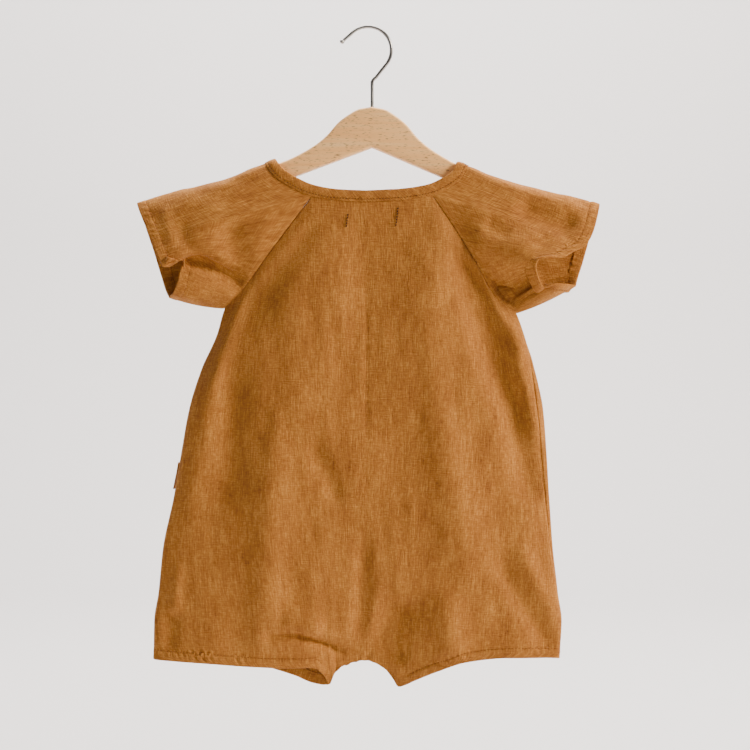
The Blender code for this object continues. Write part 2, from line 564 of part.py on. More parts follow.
def make_sleeve(name, side, table, stuff):
    """A sleeve: lengthwise lines from the raglan and neck seams to the cuff, bowed between."""
    seam = np.array(SEAM_STATIONS)
    neck = 1 + np.linspace(0, 2, SLEEVE_NECK_CELLS + 1)
    run = np.concatenate([seam[:-1], neck[:-1], 4 - seam[:0:-1]])[None, :]
    rows = np.append(column(table, "run"), 4.0)
    names = ("x", "y", "z", "lift")
    ends = [through(rows, np.append(column(table, c), getattr(table[0], c)), run) for c in names]
    cuff = np.stack(ends[:3], -1)
    t = np.linspace(0, 1, SLEEVE_ROWS + 1)[:, None]
    share = np.stack([t, t**1.5, t], -1)
    grid = (1 - share) * sleeve_edge(side, run) + share * cuff
    grid[..., 2] += ends[3] * np.sin(pi * t**1.8)
    bow = 4 * t * (1 - t)
    facing = np.tanh(grid[..., 1] / 0.004)
    grid[..., 1] += SLEEVE_BOW * bow * facing
    dip = through(column(SHOULDERS, "t"), column(SHOULDERS, "left" if side < 0 else "right"), t)
    grid[..., 2] -= dip * np.exp(-(((run - 2) / 0.6) ** 2))
    under = np.exp(-((np.minimum(run, 4 - run) / 0.15) ** 2))
    grid[..., 2] -= 0.0018 * bow * under
    seam_share = np.where(run < 2, run, 4 - run)
    grid[0] = drawn_in(grid[0], grid[1], gap_at(np.minimum(seam_share[0], 1)), closed=True)
    cloth(name, grid, stuff, closed=True)


# ---- neck binding ----------------------------------------------------------------------------
def neck_round(way):
    """The seam and lean all round: 0 is the back's middle, -last and last meet at the front's.

    Past those it runs on along the other side, for the ends that lap.
    """
    last = len(NECK_LEFT) - 1
    beyond = np.abs(way) > last
    row = np.where(beyond, 2 * last - np.abs(way), np.abs(way))
    left, left_lean = neck_seam(-1, row)
    right, right_lean = neck_seam(1, row)
    is_left = ((way < 0) != beyond)[:, None]
    return np.where(is_left, left, right), np.where(is_left, left_lean, right_lean)


def make_binding(stuff):
    """The folded strip round the neck, open at the front, its left end over its right end."""
    last = len(NECK_LEFT) - 1
    lap = OVERLAP / abs(NECK_LEFT[-2].x - CENTRE_X)
    ways = steps((-last - lap, -last, last, last + lap), (3, 3 * 2 * last, 3))
    seam, lean = neck_round(ways)
    seam[:, 1] += lapped(seam[:, 0]) * (ways < -last / 2) * (BAND + GAP)
    across = np.array([GAP / 2 + 0.0002, BAND_WIDTH])[:, None, None]
    cloth("neck_binding", seam[None] + across * lean[None], stuff, thickness=BAND)


# ---- small pieces ----------------------------------------------------------------------------
def make_buttons(grid, stuff):
    """Buttons down the left front's stand, each resting on its cloth."""
    line = grid[::-1, 3]
    for number in range(BUTTON_COUNT):
        z = FIRST_BUTTON - BUTTON_SPACING * number
        y = np.interp([z - 0.005, z, z + 0.005], line[:, 2], line[:, 1])
        lean = np.arctan2(y[2] - y[0], 0.010)
        out = CLOTH / 2 + GAP + BUTTON_THICKNESS / 2 + 0.0003
        bpy.ops.mesh.primitive_cylinder_add(
            vertices=20,
            radius=BUTTON_RADIUS,
            depth=BUTTON_THICKNESS,
            location=(CENTRE_X, y[1] + out * cos(lean), z - out * sin(lean)),
            rotation=(radians(90) - lean, 0, 0),
        )
        button = bpy.context.object
        button.name = f"button_{number + 1}"
        button.data.materials.append(stuff)
        for collection in button.users_collection:
            collection.objects.unlink(button)
        romper.objects.link(button)
        edge = button.modifiers.new("Edge", "BEVEL")
        edge.width = 0.0006
        edge.segments = 2
        edge.limit_method = "ANGLE"


def make_tab(stuff):
    """A narrow folded tab in the left side seam, hanging down and a little out."""
    t = np.linspace(0, 1, 5)[:, None]
    w = np.linspace(-0.3, 0.7, 3)[None, :] * TAB_WIDTH
    x = -0.1617 - 0.0048 * t**1.2 + 0 * w
    z = TAB_TOP - TAB_LENGTH * t + 0 * w
    y = w + 0 * t
    cloth("side_tab", np.stack([x, y, z], -1), stuff)


# ---- hanger ----------------------------------------------------------------------------------
def make_hanger(stuff):
    """The wooden hanger: a flat outline with rounded edges, drilled for the hook's stem."""
    outs = steps(tuple(column(WOOD_TOP, "out")), [2] * (len(WOOD_TOP) - 1))
    tops = through(column(WOOD_TOP, "out"), column(WOOD_TOP, "top"), outs)
    half = list(zip(outs, tops)) + list(WOOD_NOSE)
    outline = [(x, z) for x, z in half] + [(0, WOOD_INNER_TOP)]
    outline += [(-x, z) for x, z in reversed(half[1:])]
    curve = bpy.data.curves.new("hanger_outline", "CURVE")
    curve.dimensions = "2D"
    curve.fill_mode = "BOTH"
    curve.extrude = HANGER_THICKNESS / 2 - HANGER_ROUNDING
    curve.bevel_depth = HANGER_ROUNDING
    curve.bevel_resolution = 1
    curve.offset = -HANGER_ROUNDING
    line = curve.splines.new("POLY")
    line.points.add(len(outline) - 1)
    line.use_cyclic_u = True
    for point, (x, z) in zip(line.points, outline):
        point.co = (HANGER_X + x, z - HANGER_TILT * x, 0, 1)
    shape = bpy.data.objects.new("hanger_outline", curve)
    shape.rotation_euler = (radians(90), 0, 0)
    romper.objects.link(shape)
    bpy.context.view_layer.update()
    graph = bpy.context.evaluated_depsgraph_get()
    mesh = bpy.data.meshes.new_from_object(shape.evaluated_get(graph))
    mesh.transform(shape.matrix_world)
    bpy.data.objects.remove(shape)
    weld(mesh)
    wood = place("hanger_wood", mesh, stuff)

    bpy.ops.mesh.primitive_cylinder_add(
        vertices=16,
        radius=WIRE_RADIUS + GAP,
        depth=2 * (STEM_DEPTH + GAP),
        location=(HANGER_X, 0, WOOD_TOP[0].top),
    )
    drill = bpy.context.object
    drill.name = "stem_drill"
    drill.hide_render = True
    drill.display_type = "WIRE"
    for collection in drill.users_collection:
        collection.objects.unlink(drill)
    cutters.objects.link(drill)
    bore = wood.modifiers.new("Stem bore", "BOOLEAN")
    bore.operation = "DIFFERENCE"
    bore.object = drill


def weld(mesh):
    """Joins a curve's loose caps to its sides."""
    work = bmesh.new()
    work.from_mesh(mesh)
    bmesh.ops.remove_doubles(work, verts=work.verts, dist=0.00002)
    work.to_mesh(mesh)
    work.free()


def hook_line():
    """The hook's centre line: beaded tip, straight lead, round bend, straight, stem."""
    middle = np.array([0.0, WIRE_RADIUS - HOOK_RADIUS])
    start, end = radians(131), radians(-38.5)
    bend = [middle + HOOK_RADIUS * np.array([cos(a), sin(a)]) for a in np.linspace(start, end, 22)]
    lead = np.array([-sin(start), cos(start)])
    tip = [bend[0] + lead * 0.0138 * share for share in (1.0, 0.95, 0.87, 0.79, 0.70, 0.35)]
    leave = np.array([sin(end), -cos(end)])
    stem_top = np.array([HANGER_X, -0.0458])
    neck = bend[-1] + leave * 0.0142
    control = (neck + stem_top) / 2 + np.array([-0.0008, 0.0004])
    turn = [(1 - t) ** 2 * neck + 2 * t * (1 - t) * control + t**2 * stem_top for t in (0, 0.35, 0.7, 1)]
    foot = np.array([HANGER_X, WOOD_TOP[0].top - STEM_DEPTH])
    line = tip + bend + turn + [stem_top * (1 - t) + foot * t for t in (0.2, 0.6, 1.0)]
    sizes = [0.55, 1.25, 1.55, 1.25, 1.0, 1.0] + [1.0] * (len(line) - 6)
    return line, sizes


def make_hook(stuff):
    line, sizes = hook_line()
    curve = bpy.data.curves.new("hook", "CURVE")
    curve.dimensions = "3D"
    curve.bevel_depth = WIRE_RADIUS
    curve.bevel_resolution = 3
    curve.use_fill_caps = True
    wire = curve.splines.new("POLY")
    wire.points.add(len(line) - 1)
    for point, (x, z), size in zip(wire.points, line, sizes):
        point.co = (x, 0, z, 1)
        point.radius = size
    place("hanger_hook", curve, stuff)


# ---- assembly --------------------------------------------------------------------------------
for old in list(bpy.data.objects):
    bpy.data.objects.remove(old)
romper = bpy.data.collections.new("baby_romper")
bpy.context.scene.collection.children.link(romper)
cutters = bpy.data.collections.new("cutters")
bpy.context.scene.collection.children.link(cutters)

linen = material("ochre_linen", LINEN, 0.9)
beech = material("beech", BEECH, 0.55)
steel = material("steel_wire", STEEL, 0.25, 1.0)
horn = material("button", HORN, 0.45)

make_back(linen)
left_front = make_front("front_left", -1, linen)
make_front("front_right", 1, linen)
make_sleeve("sleeve_left", -1, CUFF_LEFT, linen)
make_sleeve("sleeve_right", 1, CUFF_RIGHT, linen)
make_binding(linen)
make_buttons(left_front, horn)
make_tab(linen)
make_hanger(beech)
make_hook(steel)
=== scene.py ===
"""Baby romper in ochre washed linen, hanging from a child's beech hanger with a steel hook.

The back faces -Y and the front +Y, and the garment's left is at -X. The origin is the point of
the hook that rests on a rail. All sizes are in metres. The sections follow the order in which
the romper is cut, sewn and hung: back, fronts, sleeves, neck binding, tab, buttons, hanger, hook.
"""

from collections import namedtuple
from math import cos, pi, radians, sin, sqrt

import bmesh
import bpy
import numpy as np
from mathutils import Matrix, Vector


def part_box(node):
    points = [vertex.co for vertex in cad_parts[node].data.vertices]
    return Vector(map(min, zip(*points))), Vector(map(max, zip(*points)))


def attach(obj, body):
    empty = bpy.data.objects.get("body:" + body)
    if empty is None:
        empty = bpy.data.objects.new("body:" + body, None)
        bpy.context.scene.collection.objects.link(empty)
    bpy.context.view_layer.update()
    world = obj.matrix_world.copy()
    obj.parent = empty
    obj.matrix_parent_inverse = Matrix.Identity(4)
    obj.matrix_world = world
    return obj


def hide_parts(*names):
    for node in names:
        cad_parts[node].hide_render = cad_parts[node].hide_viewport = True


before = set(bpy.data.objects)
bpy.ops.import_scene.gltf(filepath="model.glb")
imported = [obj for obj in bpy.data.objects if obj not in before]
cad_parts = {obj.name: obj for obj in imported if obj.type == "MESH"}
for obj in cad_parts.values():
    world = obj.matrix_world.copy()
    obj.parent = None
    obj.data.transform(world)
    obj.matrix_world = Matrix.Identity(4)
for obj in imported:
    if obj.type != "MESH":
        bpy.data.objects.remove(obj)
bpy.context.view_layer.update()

# ---- back panel ------------------------------------------------------------------------------
# One piece of ochre linen, cut with raglan armholes, a shallow neck and two leg hems. It hangs from
# the sleeves and the neck binding, and its hems are turned up twice and topstitched.
PLY = 0.0007  # one layer of linen as it is drawn
WALL_GAP = 0.0016  # clear distance between the middle planes of the two walls at a side seam
CENTRE_X = -0.0023  # centre line of the garment
BODY_DEPTH = 0.0165  # how far back and front stand from the middle plane at the belly
HEM_WIDTH = 0.0085
HEM_STITCH = 0.0074  # from the hem's fold up to its stitching
HEM_FOLD = 0.0006  # radius of the fold along a hem
SEAM_FOLD = 0.0008  # radius with which a wall turns in at a seam
SEAM_CLEAR = 0.00050  # from a seam line to the middle of the ply that turns in
SEAM_ALLOWANCE = 0.0026
SEAM_END = 0.00026  # the same clearance at the underarm and the neck, where nothing turns in
NECK_CLEAR = 0.0004  # from the neck's seam down to the cloth's own edge inside the binding


def tabled(names, *rows):
    """A table of numbers whose columns have names."""
    return np.rec.fromrecords(rows, names=names.split())


# The body's outline at a height. roll is how far round the right side the seam lies on the back.
SIDES = tabled(
    "z left right roll",
    (-0.238, -0.1222, 0.1254, 0.000),
    (-0.262, -0.1290, 0.1335, 0.000),
    (-0.290, -0.1415, 0.1415, 0.045),
    (-0.324, -0.1520, 0.1486, 0.070),
    (-0.360, -0.1584, 0.1514, 0.070),
    (-0.400, -0.1652, 0.1538, 0.060),
    (-0.440, -0.1738, 0.1566, 0.045),
    (-0.480, -0.1780, 0.1613, 0.020),
    (-0.503, -0.1815, 0.1645, 0.000),
    (-0.534, -0.1820, 0.1626, 0.000),
)

# The lower edge from the left side (u = 0) to the right: heights of the back's and the front's
# edge, and how far each stands from the middle plane. The two meet along the crotch seam.
HEMS = tabled(
    "u x back front depth",
    (0.000, -0.1820, -0.5340, -0.5340, 0.0000),
    (0.045, -0.1806, -0.5345, -0.5350, 0.0052),
    (0.120, -0.1660, -0.5355, -0.5368, 0.0090),
    (0.240, -0.1330, -0.5375, -0.5390, 0.0120),
    (0.340, -0.0960, -0.5400, -0.5420, 0.0125),
    (0.400, -0.0640, -0.5412, -0.5505, 0.0110),
    (0.430, -0.0455, -0.5412, -0.5572, 0.0080),
    (0.446, -0.0370, -0.5490, -0.5580, 0.0035),
    (0.455, -0.0330, -0.5572, -0.5574, 0.0000),
    (0.466, -0.0285, -0.5475, -0.5480, 0.0000),
    (0.480, -0.0215, -0.5415, -0.5418, 0.0000),
    (0.510, -0.0023, -0.5365, -0.5368, 0.0000),
    (0.540, 0.0140, -0.5435, -0.5438, 0.0000),
    (0.555, 0.0215, -0.5525, -0.5528, 0.0000),
    (0.566, 0.0263, -0.5590, -0.5595, 0.0000),
    (0.585, 0.0385, -0.5532, -0.5550, 0.0045),
    (0.620, 0.0560, -0.5455, -0.5475, 0.0080),
    (0.680, 0.0830, -0.5360, -0.5380, 0.0115),
    (0.780, 0.1170, -0.5325, -0.5345, 0.0120),
    (0.890, 0.1470, -0.5328, -0.5340, 0.0090),
    (0.960, 0.1611, -0.5335, -0.5340, 0.0050),
    (1.000, 0.1626, -0.5340, -0.5340, 0.0000),
)

# The seams between body and sleeves, from the underarm (f = 0) to the neck (f = 1).
RAGLANS = tabled(
    "f left_x left_z right_x right_z front_left_x front_left_z front_right_x front_right_z",
    (0.00, -0.1222, -0.2380, 0.1265, -0.2420, -0.1222, -0.2380, 0.1265, -0.2420),
    (0.18, -0.1062, -0.2222, 0.1085, -0.2290, -0.1090, -0.2265, 0.1120, -0.2310),
    (0.50, -0.0835, -0.1915, 0.0880, -0.1935, -0.0860, -0.2020, 0.0880, -0.2050),
    (1.00, -0.0468, -0.1428, 0.0535, -0.1418, -0.0540, -0.1660, 0.0490, -0.1660),
)

# The seam between the neck binding and the garment on one side, from the middle of the back
# over the hanger's arm to the middle of the front. lean points across the binding.
NECK_LEFT = tabled(
    "x y z lean_x lean_z",
    (-0.0023, -0.0108, -0.1475, 0.00, 1.00),
    (-0.0260, -0.0106, -0.1464, 0.10, 1.00),
    (-0.0468, -0.0102, -0.1428, 0.30, 0.95),
    (-0.0650, -0.0096, -0.1350, 0.55, 0.83),
    (-0.0790, -0.0089, -0.1250, 0.78, 0.62),
    (-0.0848, -0.0068, -0.1174, 0.92, 0.40),
    (-0.0863, 0.0000, -0.1148, 0.93, 0.36),
    (-0.0848, 0.0068, -0.1176, 0.92, 0.40),
    (-0.0800, 0.0090, -0.1270, 0.88, 0.48),
    (-0.0700, 0.0100, -0.1450, 0.84, 0.55),
    (-0.0540, 0.0108, -0.1660, 0.65, 0.76),
    (-0.0320, 0.0116, -0.1800, 0.30, 0.95),
    (-0.0150, 0.0119, -0.1850, 0.12, 0.99),
    (-0.0023, 0.0120, -0.1858, 0.00, 1.00),
)
NECK_RIGHT = tabled(
    "x y z lean_x lean_z",
    (-0.0023, -0.0108, -0.1475, 0.00, 1.00),
    (0.0280, -0.0106, -0.1460, -0.10, 1.00),
    (0.0535, -0.0102, -0.1418, -0.32, 0.95),
    (0.0680, -0.0096, -0.1350, -0.55, 0.83),
    (0.0785, -0.0089, -0.1270, -0.78, 0.62),
    (0.0828, -0.0070, -0.1184, -0.92, 0.40),
    (0.0842, 0.0000, -0.1172, -0.93, 0.36),
    (0.0828, 0.0070, -0.1186, -0.92, 0.40),
    (0.0785, 0.0090, -0.1290, -0.88, 0.48),
    (0.0670, 0.0100, -0.1460, -0.84, 0.55),
    (0.0490, 0.0108, -0.1660, -0.65, 0.76),
    (0.0275, 0.0116, -0.1800, -0.30, 0.95),
    (0.0104, 0.0119, -0.1850, -0.12, 0.99),
    (-0.0023, 0.0120, -0.1858, 0.00, 1.00),
)
NECK_BACK_ROW, NECK_FRONT_ROW = 2, 10  # the rows where the raglan seams meet the binding

# Soft folds: a ridge (rise > 0) or a trough (rise < 0) along a line, with a half width.
BACK_FOLDS = tabled(
    "x0 z0 x1 z1 width rise",
    (-0.046, -0.166, -0.100, -0.250, 0.011, -0.0020),
    (-0.106, -0.222, -0.131, -0.305, 0.007, 0.0035),
    (-0.112, -0.290, -0.120, -0.400, 0.013, -0.0045),
    (-0.135, -0.300, -0.150, -0.420, 0.012, 0.0020),
    (-0.078, -0.330, -0.086, -0.510, 0.016, 0.0045),
    (-0.058, -0.240, -0.062, -0.340, 0.014, 0.0015),
    (-0.046, -0.352, -0.027, -0.400, 0.008, -0.0028),
    (-0.0017, -0.165, -0.0012, -0.345, 0.020, -0.0032),
    (-0.0017, -0.225, -0.0012, -0.350, 0.0022, -0.0005),
    (0.050, -0.180, 0.056, -0.330, 0.014, 0.0022),
    (-0.040, -0.200, -0.040, -0.300, 0.016, 0.0012),
    (0.086, -0.190, 0.094, -0.250, 0.013, -0.0085),
    (0.094, -0.250, 0.126, -0.330, 0.014, -0.0085),
    (0.123, -0.330, 0.137, -0.400, 0.012, -0.0050),
    (0.110, -0.228, 0.132, -0.278, 0.008, 0.0045),
    (0.126, -0.274, 0.143, -0.350, 0.008, 0.0045),
    (0.060, -0.330, 0.085, -0.460, 0.020, 0.0045),
    (0.112, -0.450, 0.152, -0.525, 0.010, -0.0045),
    (0.128, -0.440, 0.158, -0.500, 0.008, 0.0025),
    (-0.003, -0.435, -0.006, -0.515, 0.0065, -0.0026),
    (0.010, -0.470, 0.000, -0.515, 0.006, 0.0016),
    (0.030, -0.485, 0.016, -0.535, 0.014, -0.0082),
    (0.066, -0.480, 0.070, -0.535, 0.014, 0.0040),
    (-0.086, -0.5150, -0.060, -0.5140, 0.0034, -0.0036),
    (-0.060, -0.5140, -0.029, -0.5240, 0.0038, -0.0066),
    (-0.029, -0.5240, -0.0165, -0.5365, 0.0040, -0.0066),
    (-0.070, -0.500, -0.040, -0.508, 0.010, 0.0030),
    (-0.166, -0.495, -0.167, -0.525, 0.006, -0.0030),
    (-0.160, -0.455, -0.163, -0.495, 0.005, 0.0020),
)
FRONT_FOLDS = tabled(
    "x0 z0 x1 z1 width rise",
    (-0.090, -0.215, -0.122, -0.350, 0.013, 0.0035),
    (-0.100, -0.330, -0.125, -0.500, 0.017, -0.0045),
    (-0.060, -0.260, -0.068, -0.470, 0.020, 0.0030),
    (0.090, -0.215, 0.128, -0.380, 0.012, -0.0050),
    (0.060, -0.240, 0.078, -0.440, 0.018, 0.0035),
    (0.100, -0.420, 0.125, -0.520, 0.016, 0.0035),
    (0.038, -0.540, 0.052, -0.450, 0.013, -0.0045),
    (-0.045, -0.545, -0.058, -0.450, 0.013, -0.0045),
)
LEFT_CORNER_U, RIGHT_CORNER_U = 0.37, 0.63  # columns of a body panel that meet the neck corners
LEFT_LEG_U, RIGHT_LEG_U = 0.455, 0.566  # columns where a leg's hem meets the crotch seam
ROLL_SPAN = 0.1  # share of a panel's width over which the roll of the right side seam fades out
RAGLAN_EASE = 1.6  # how columns crowd towards the underarm
RUMPLE = 0.00070  # height of the cloth's soft waves
SMALL_RUMPLE = 0.00020
DEEPEST = 0.75  # the most that a trough takes of the hollow behind it
BACK_SEED, FRONT_SEED = 11, 23


def hermite(t, a, b, da, db):
    """The cubic from a to b with slopes da and db, at t from 0 to 1."""
    rise = 3 * t**2 - 2 * t**3
    return (1 - rise) * a + rise * b + (t**3 - 2 * t**2 + t) * da + (t**3 - t**2) * db


def through(knots, values, at):
    """A smooth curve through values at rising knots.

    Each stretch is a cubic whose end slopes are the harmonic mean of the slopes beside the knot,
    and nought where they differ in sign, so it never swings past a value.
    """
    knots = np.asarray(knots, float)
    values = np.asarray(values, float)
    at = np.clip(np.asarray(at, float), knots[0], knots[-1])
    step = np.diff(knots)
    slope = np.diff(values) / step
    product = slope[:-1] * slope[1:]
    together = slope[:-1] + slope[1:]
    inner = np.where(product > 0, 2 * product / np.where(together == 0, 1, together), 0.0)
    slopes = np.concatenate([slope[:1], inner, slope[-1:]])
    k = np.clip(np.searchsorted(knots, at, side="right") - 1, 0, len(step) - 1)
    t = (at - knots[k]) / step[k]
    return hermite(t, values[k], values[k + 1], slopes[k] * step[k], slopes[k + 1] * step[k])


def unit(ways, least=0.0):
    """Vectors over their lengths; least keeps a length of nought from dividing."""
    return ways / (np.linalg.norm(ways, axis=-1, keepdims=True) + least)


def smooth_step(t):
    """Eases from 0 to 1 as t goes from 0 to 1: 3 t squared less 2 t cubed."""
    t = np.clip(t, 0, 1)
    return t * t * (3 - 2 * t)


def bump_at(value, middle, half_width):
    """A bell that is 1 at the middle: e to the minus squared distance over the half width."""
    return np.exp(-(((value - middle) / half_width) ** 2))


def folds_at(table, x, z):
    """The lift of a table's folds: for each, its rise times a bell across it, eased out at its ends."""
    lift = np.zeros_like(x)
    for fold in table:
        along = np.array([fold.x1 - fold.x0, fold.z1 - fold.z0])
        length = np.hypot(*along)
        along = along / length
        s = ((x - fold.x0) * along[0] + (z - fold.z0) * along[1]) / length
        aside = (x - fold.x0) * along[1] - (z - fold.z0) * along[0]
        ends = smooth_step(s / 0.35 + 0.5) * smooth_step((1 - s) / 0.35 + 0.5)
        lift += fold.rise * ends * bump_at(aside, 0, fold.width)
    return lift


def rumples(a, b, cell_a, cell_b, seed):
    """Soft uneven waves: random heights at the corners of cells, eased from corner to corner."""
    heights = np.random.default_rng(seed).normal(size=(97, 97))
    a, b = a / cell_a + 48, b / cell_b + 48
    i, j = np.floor(a).astype(int) % 96, np.floor(b).astype(int) % 96
    s, t = smooth_step(a - np.floor(a)), smooth_step(b - np.floor(b))
    low = heights[i, j] * (1 - s) + heights[i + 1, j] * s
    high = heights[i, j + 1] * (1 - s) + heights[i + 1, j + 1] * s
    return low * (1 - t) + high * t


def raglan(side, face, f):
    """Points of a raglan seam at f; side is -1 left or 1 right, face is -1 back or 1 front.

    x and z run through the table's rows, and y rises from nought at the underarm as a power of
    the sine of a quarter turn.
    """
    name = ("front_" if face > 0 else "") + ("left" if side < 0 else "right")
    neck = (NECK_LEFT if side < 0 else NECK_RIGHT)[NECK_FRONT_ROW if face > 0 else NECK_BACK_ROW]
    rows = RAGLANS.f
    x = through(rows, RAGLANS[name + "_x"], f)
    z = through(rows, RAGLANS[name + "_z"], f)
    y = neck.y * np.sin(pi / 2 * np.asarray(f)) ** 0.8
    return np.stack([x, y, z], -1)


def neck_seam(side, row):
    """Points of the neck seam and the unit direction across the binding, at a row of its table."""
    table = NECK_LEFT if side < 0 else NECK_RIGHT
    rows = np.arange(len(table))
    seam = np.stack([through(rows, table[c], row) for c in "xyz"], -1)
    lean_x = through(rows, table.lean_x, row)
    lean_z = through(rows, table.lean_z, row)
    lean = np.stack([lean_x, np.zeros_like(lean_x), lean_z], -1)
    return seam, unit(lean)


def raglan_share(u):
    """How far up its raglan seam (f) a column u of a body panel ends; 1 or more at the neck."""
    share = np.minimum(u / LEFT_CORNER_U, (1 - u) / (1 - RIGHT_CORNER_U))
    return np.clip(share, 0, 2) ** RAGLAN_EASE


def top_edge(face, u):
    """The body panel's upper edge, joined from the left raglan seam, the neck and the right one."""
    row = NECK_FRONT_ROW if face > 0 else NECK_BACK_ROW
    middle_row = len(NECK_LEFT) - 1 if face > 0 else 0
    half_u = (LEFT_CORNER_U + RIGHT_CORNER_U) / 2
    left = raglan(-1, face, raglan_share(np.minimum(u, LEFT_CORNER_U)))
    right = raglan(1, face, raglan_share(np.maximum(u, RIGHT_CORNER_U)))
    to_middle = np.clip((u - LEFT_CORNER_U) / (half_u - LEFT_CORNER_U), 0, 1)
    from_middle = np.clip((u - half_u) / (RIGHT_CORNER_U - half_u), 0, 1)
    neck_left = neck_seam(-1, row + (middle_row - row) * to_middle)[0]
    neck_right = neck_seam(1, middle_row + (row - middle_row) * from_middle)[0]
    choice = [u[..., None] < LEFT_CORNER_U, u[..., None] < half_u, u[..., None] < RIGHT_CORNER_U]
    return np.select(choice, [left, neck_left, neck_right], right)


def panel(face, u, v, folds, seed):
    """Points of the back (face -1) or the front (face 1): u across from the left side, v down.

    x and z run between the two sides, corrected to meet the upper and the lower edge (a Coons
    patch). y is a rounded section that opens to BODY_DEPTH, follows the upper edge at the top and
    the hems and the crotch seam at the bottom, and is lifted by the folds and by soft rumples.
    """
    top = top_edge(face, u)
    rows = HEMS.u
    low_x = through(rows, HEMS.x, u)
    low_z = through(rows, HEMS["front" if face > 0 else "back"], u)
    heights = -SIDES.z
    z_ends = (RAGLANS[0].left_z, RAGLANS[0].right_z, HEMS[0].back, HEMS[-1].back)
    left_z = z_ends[0] + (z_ends[2] - z_ends[0]) * v
    right_z = z_ends[1] + (z_ends[3] - z_ends[1]) * v
    left_x = through(heights, SIDES.left, -left_z)
    right_x = through(heights, SIDES.right, -right_z)
    left_ends = through(heights, SIDES.left, [-z_ends[0], -z_ends[2]])
    right_ends = through(heights, SIDES.right, [-z_ends[1], -z_ends[3]])
    x_ends = (left_ends[0], right_ends[0], left_ends[1], right_ends[1])
    across = (1 - np.cos(pi * u)) / 2

    def spanned(left, right, upper, lower, ends, power):
        top_left, top_right, low_left, low_right = ends
        from_top = upper - (1 - across) * top_left - across * top_right
        from_low = lower - (1 - across) * low_left - across * low_right
        between = (1 - across) * left + across * right
        return between + (1 - v) ** power * from_top + v**power * from_low

    x = spanned(left_x, right_x, top[..., 0], low_x, x_ends, 3)
    z = spanned(left_z, right_z, top[..., 2], low_z, z_ends, 1)
    rounded = np.sin(pi * u) ** (1.15 - 0.4 * smooth_step(v / 0.35))
    pinch = WALL_GAP / 2 * np.tanh(np.minimum(u, 1 - u) / 0.004) * smooth_step(v / 0.05)
    near_top = (1 - v) ** 3
    near_low = v**6
    depth = (
        near_top * np.abs(top[..., 1])
        + (1 - near_top) * (1 - near_low) * BODY_DEPTH * rounded
        + near_low * through(rows, HEMS.depth, u)
        + pinch
    )
    free = smooth_step(u / 0.08) * smooth_step((1 - u) / 0.08) * smooth_step((v - 0.005) / 0.08)
    crotch = smooth_step((u - 0.43) / 0.02) * smooth_step((0.60 - u) / 0.02)
    free = free * (1 - crotch * smooth_step((v - 0.93) / 0.06))
    lift = folds_at(folds, x, z) * free
    near = smooth_step(u / 0.05) * smooth_step((1 - u) / 0.05) * smooth_step(v / 0.08)
    near = near * smooth_step((1 - v) / 0.05) * (1 - crotch * smooth_step((v - 0.9) / 0.08))
    lift += near * RUMPLE * rumples(x, z, 0.022, 0.058, seed)
    lift += near * SMALL_RUMPLE * rumples(x + 0.15 * z, z, 0.0085, 0.024, seed + 1)
    lift = np.maximum(lift, -DEEPEST * depth)
    return np.stack([x, face * (depth + lift), z], -1)



def body(turn, v):
    """Points of the whole body: turn 0 to 1 is the back from left to right, 1 to 2 the front."""
    back = panel(-1, np.clip(turn, 0, 1), v, BACK_FOLDS, BACK_SEED)
    front = panel(1, np.clip(2 - turn, 0, 1), v, FRONT_FOLDS, FRONT_SEED)
    return np.where(turn[..., None] <= 1, back, front)


def seam_turn(v):
    """Where the right side seam lies, as a turn: rolled a little onto the back at mid height."""
    z = RAGLANS[0].right_z + (HEMS[-1].back - RAGLANS[0].right_z) * v
    return 1 - through(-SIDES.z, SIDES.roll, -z)


def normals(grid, closed=False):
    """Unit normals of a grid: the cross product of its steps across and down."""
    across = np.roll(grid, -1, 1) - np.roll(grid, 1, 1) if closed else np.gradient(grid, axis=1)
    return unit(np.cross(across, np.gradient(grid, axis=0)), 1e-12)


def from_edge(grid):
    """Distance of each point from the end of its column, added up along the column."""
    steps_down = np.linalg.norm(np.diff(grid, axis=0), axis=-1)
    return np.concatenate([np.cumsum(steps_down[::-1], axis=0)[::-1], 0 * steps_down[:1]])


def along_edge(edge):
    """Distance along a line of points, added up from its first."""
    return np.concatenate([[0.0], np.cumsum(np.linalg.norm(np.diff(edge, axis=0), axis=-1))])


BAND_RISE = 0.00035  # how proud a doubled hem stands
STITCH_GROOVE = 0.00055
PUCKER = 0.00078
PUCKER_PITCH = 0.0062
GATHER = 0.00115  # height of the gathers above the crotch seam
GATHER_PITCH = 0.0085
GATHER_REACH = 0.011


def hem_relief(s, along, pull, seed):
    """Lift of a topstitched hem: s up from its fold and along it.

    The doubled band stands a little proud, the thread draws a groove, and slanting puckers cross
    the band, as strong as pull and as a slow random wave say.
    """
    band = BAND_RISE * (1 - smooth_step((s - HEM_STITCH) / 0.0016))
    groove = -STITCH_GROOVE * bump_at(s, HEM_STITCH, 0.0010)
    uneven = 0.55 + 0.45 * rumples(along, 0 * along, 0.016, 1, seed)
    phase = 2 * pi * (along + 0.55 * s) / PUCKER_PITCH + 2.0 * rumples(along, 0 * along, 0.013, 1, seed + 1)
    pucker = PUCKER * pull * uneven * np.sin(phase) * bump_at(s, 0.0050, 0.0045)
    return band + groove + pucker


def crotch_relief(s, along, seed):
    """Lift of the gathers above the crotch seam: waves across it that fade out upwards."""
    phase = 2 * pi * along / GATHER_PITCH + 1.8 * rumples(along, s, 0.012, 0.02, seed)
    strength = GATHER * (0.6 + 0.5 * rumples(along, 0 * along, 0.011, 1, seed + 1))
    return strength * np.sin(phase) * np.exp(-s / GATHER_REACH) * smooth_step(s / 0.0015)


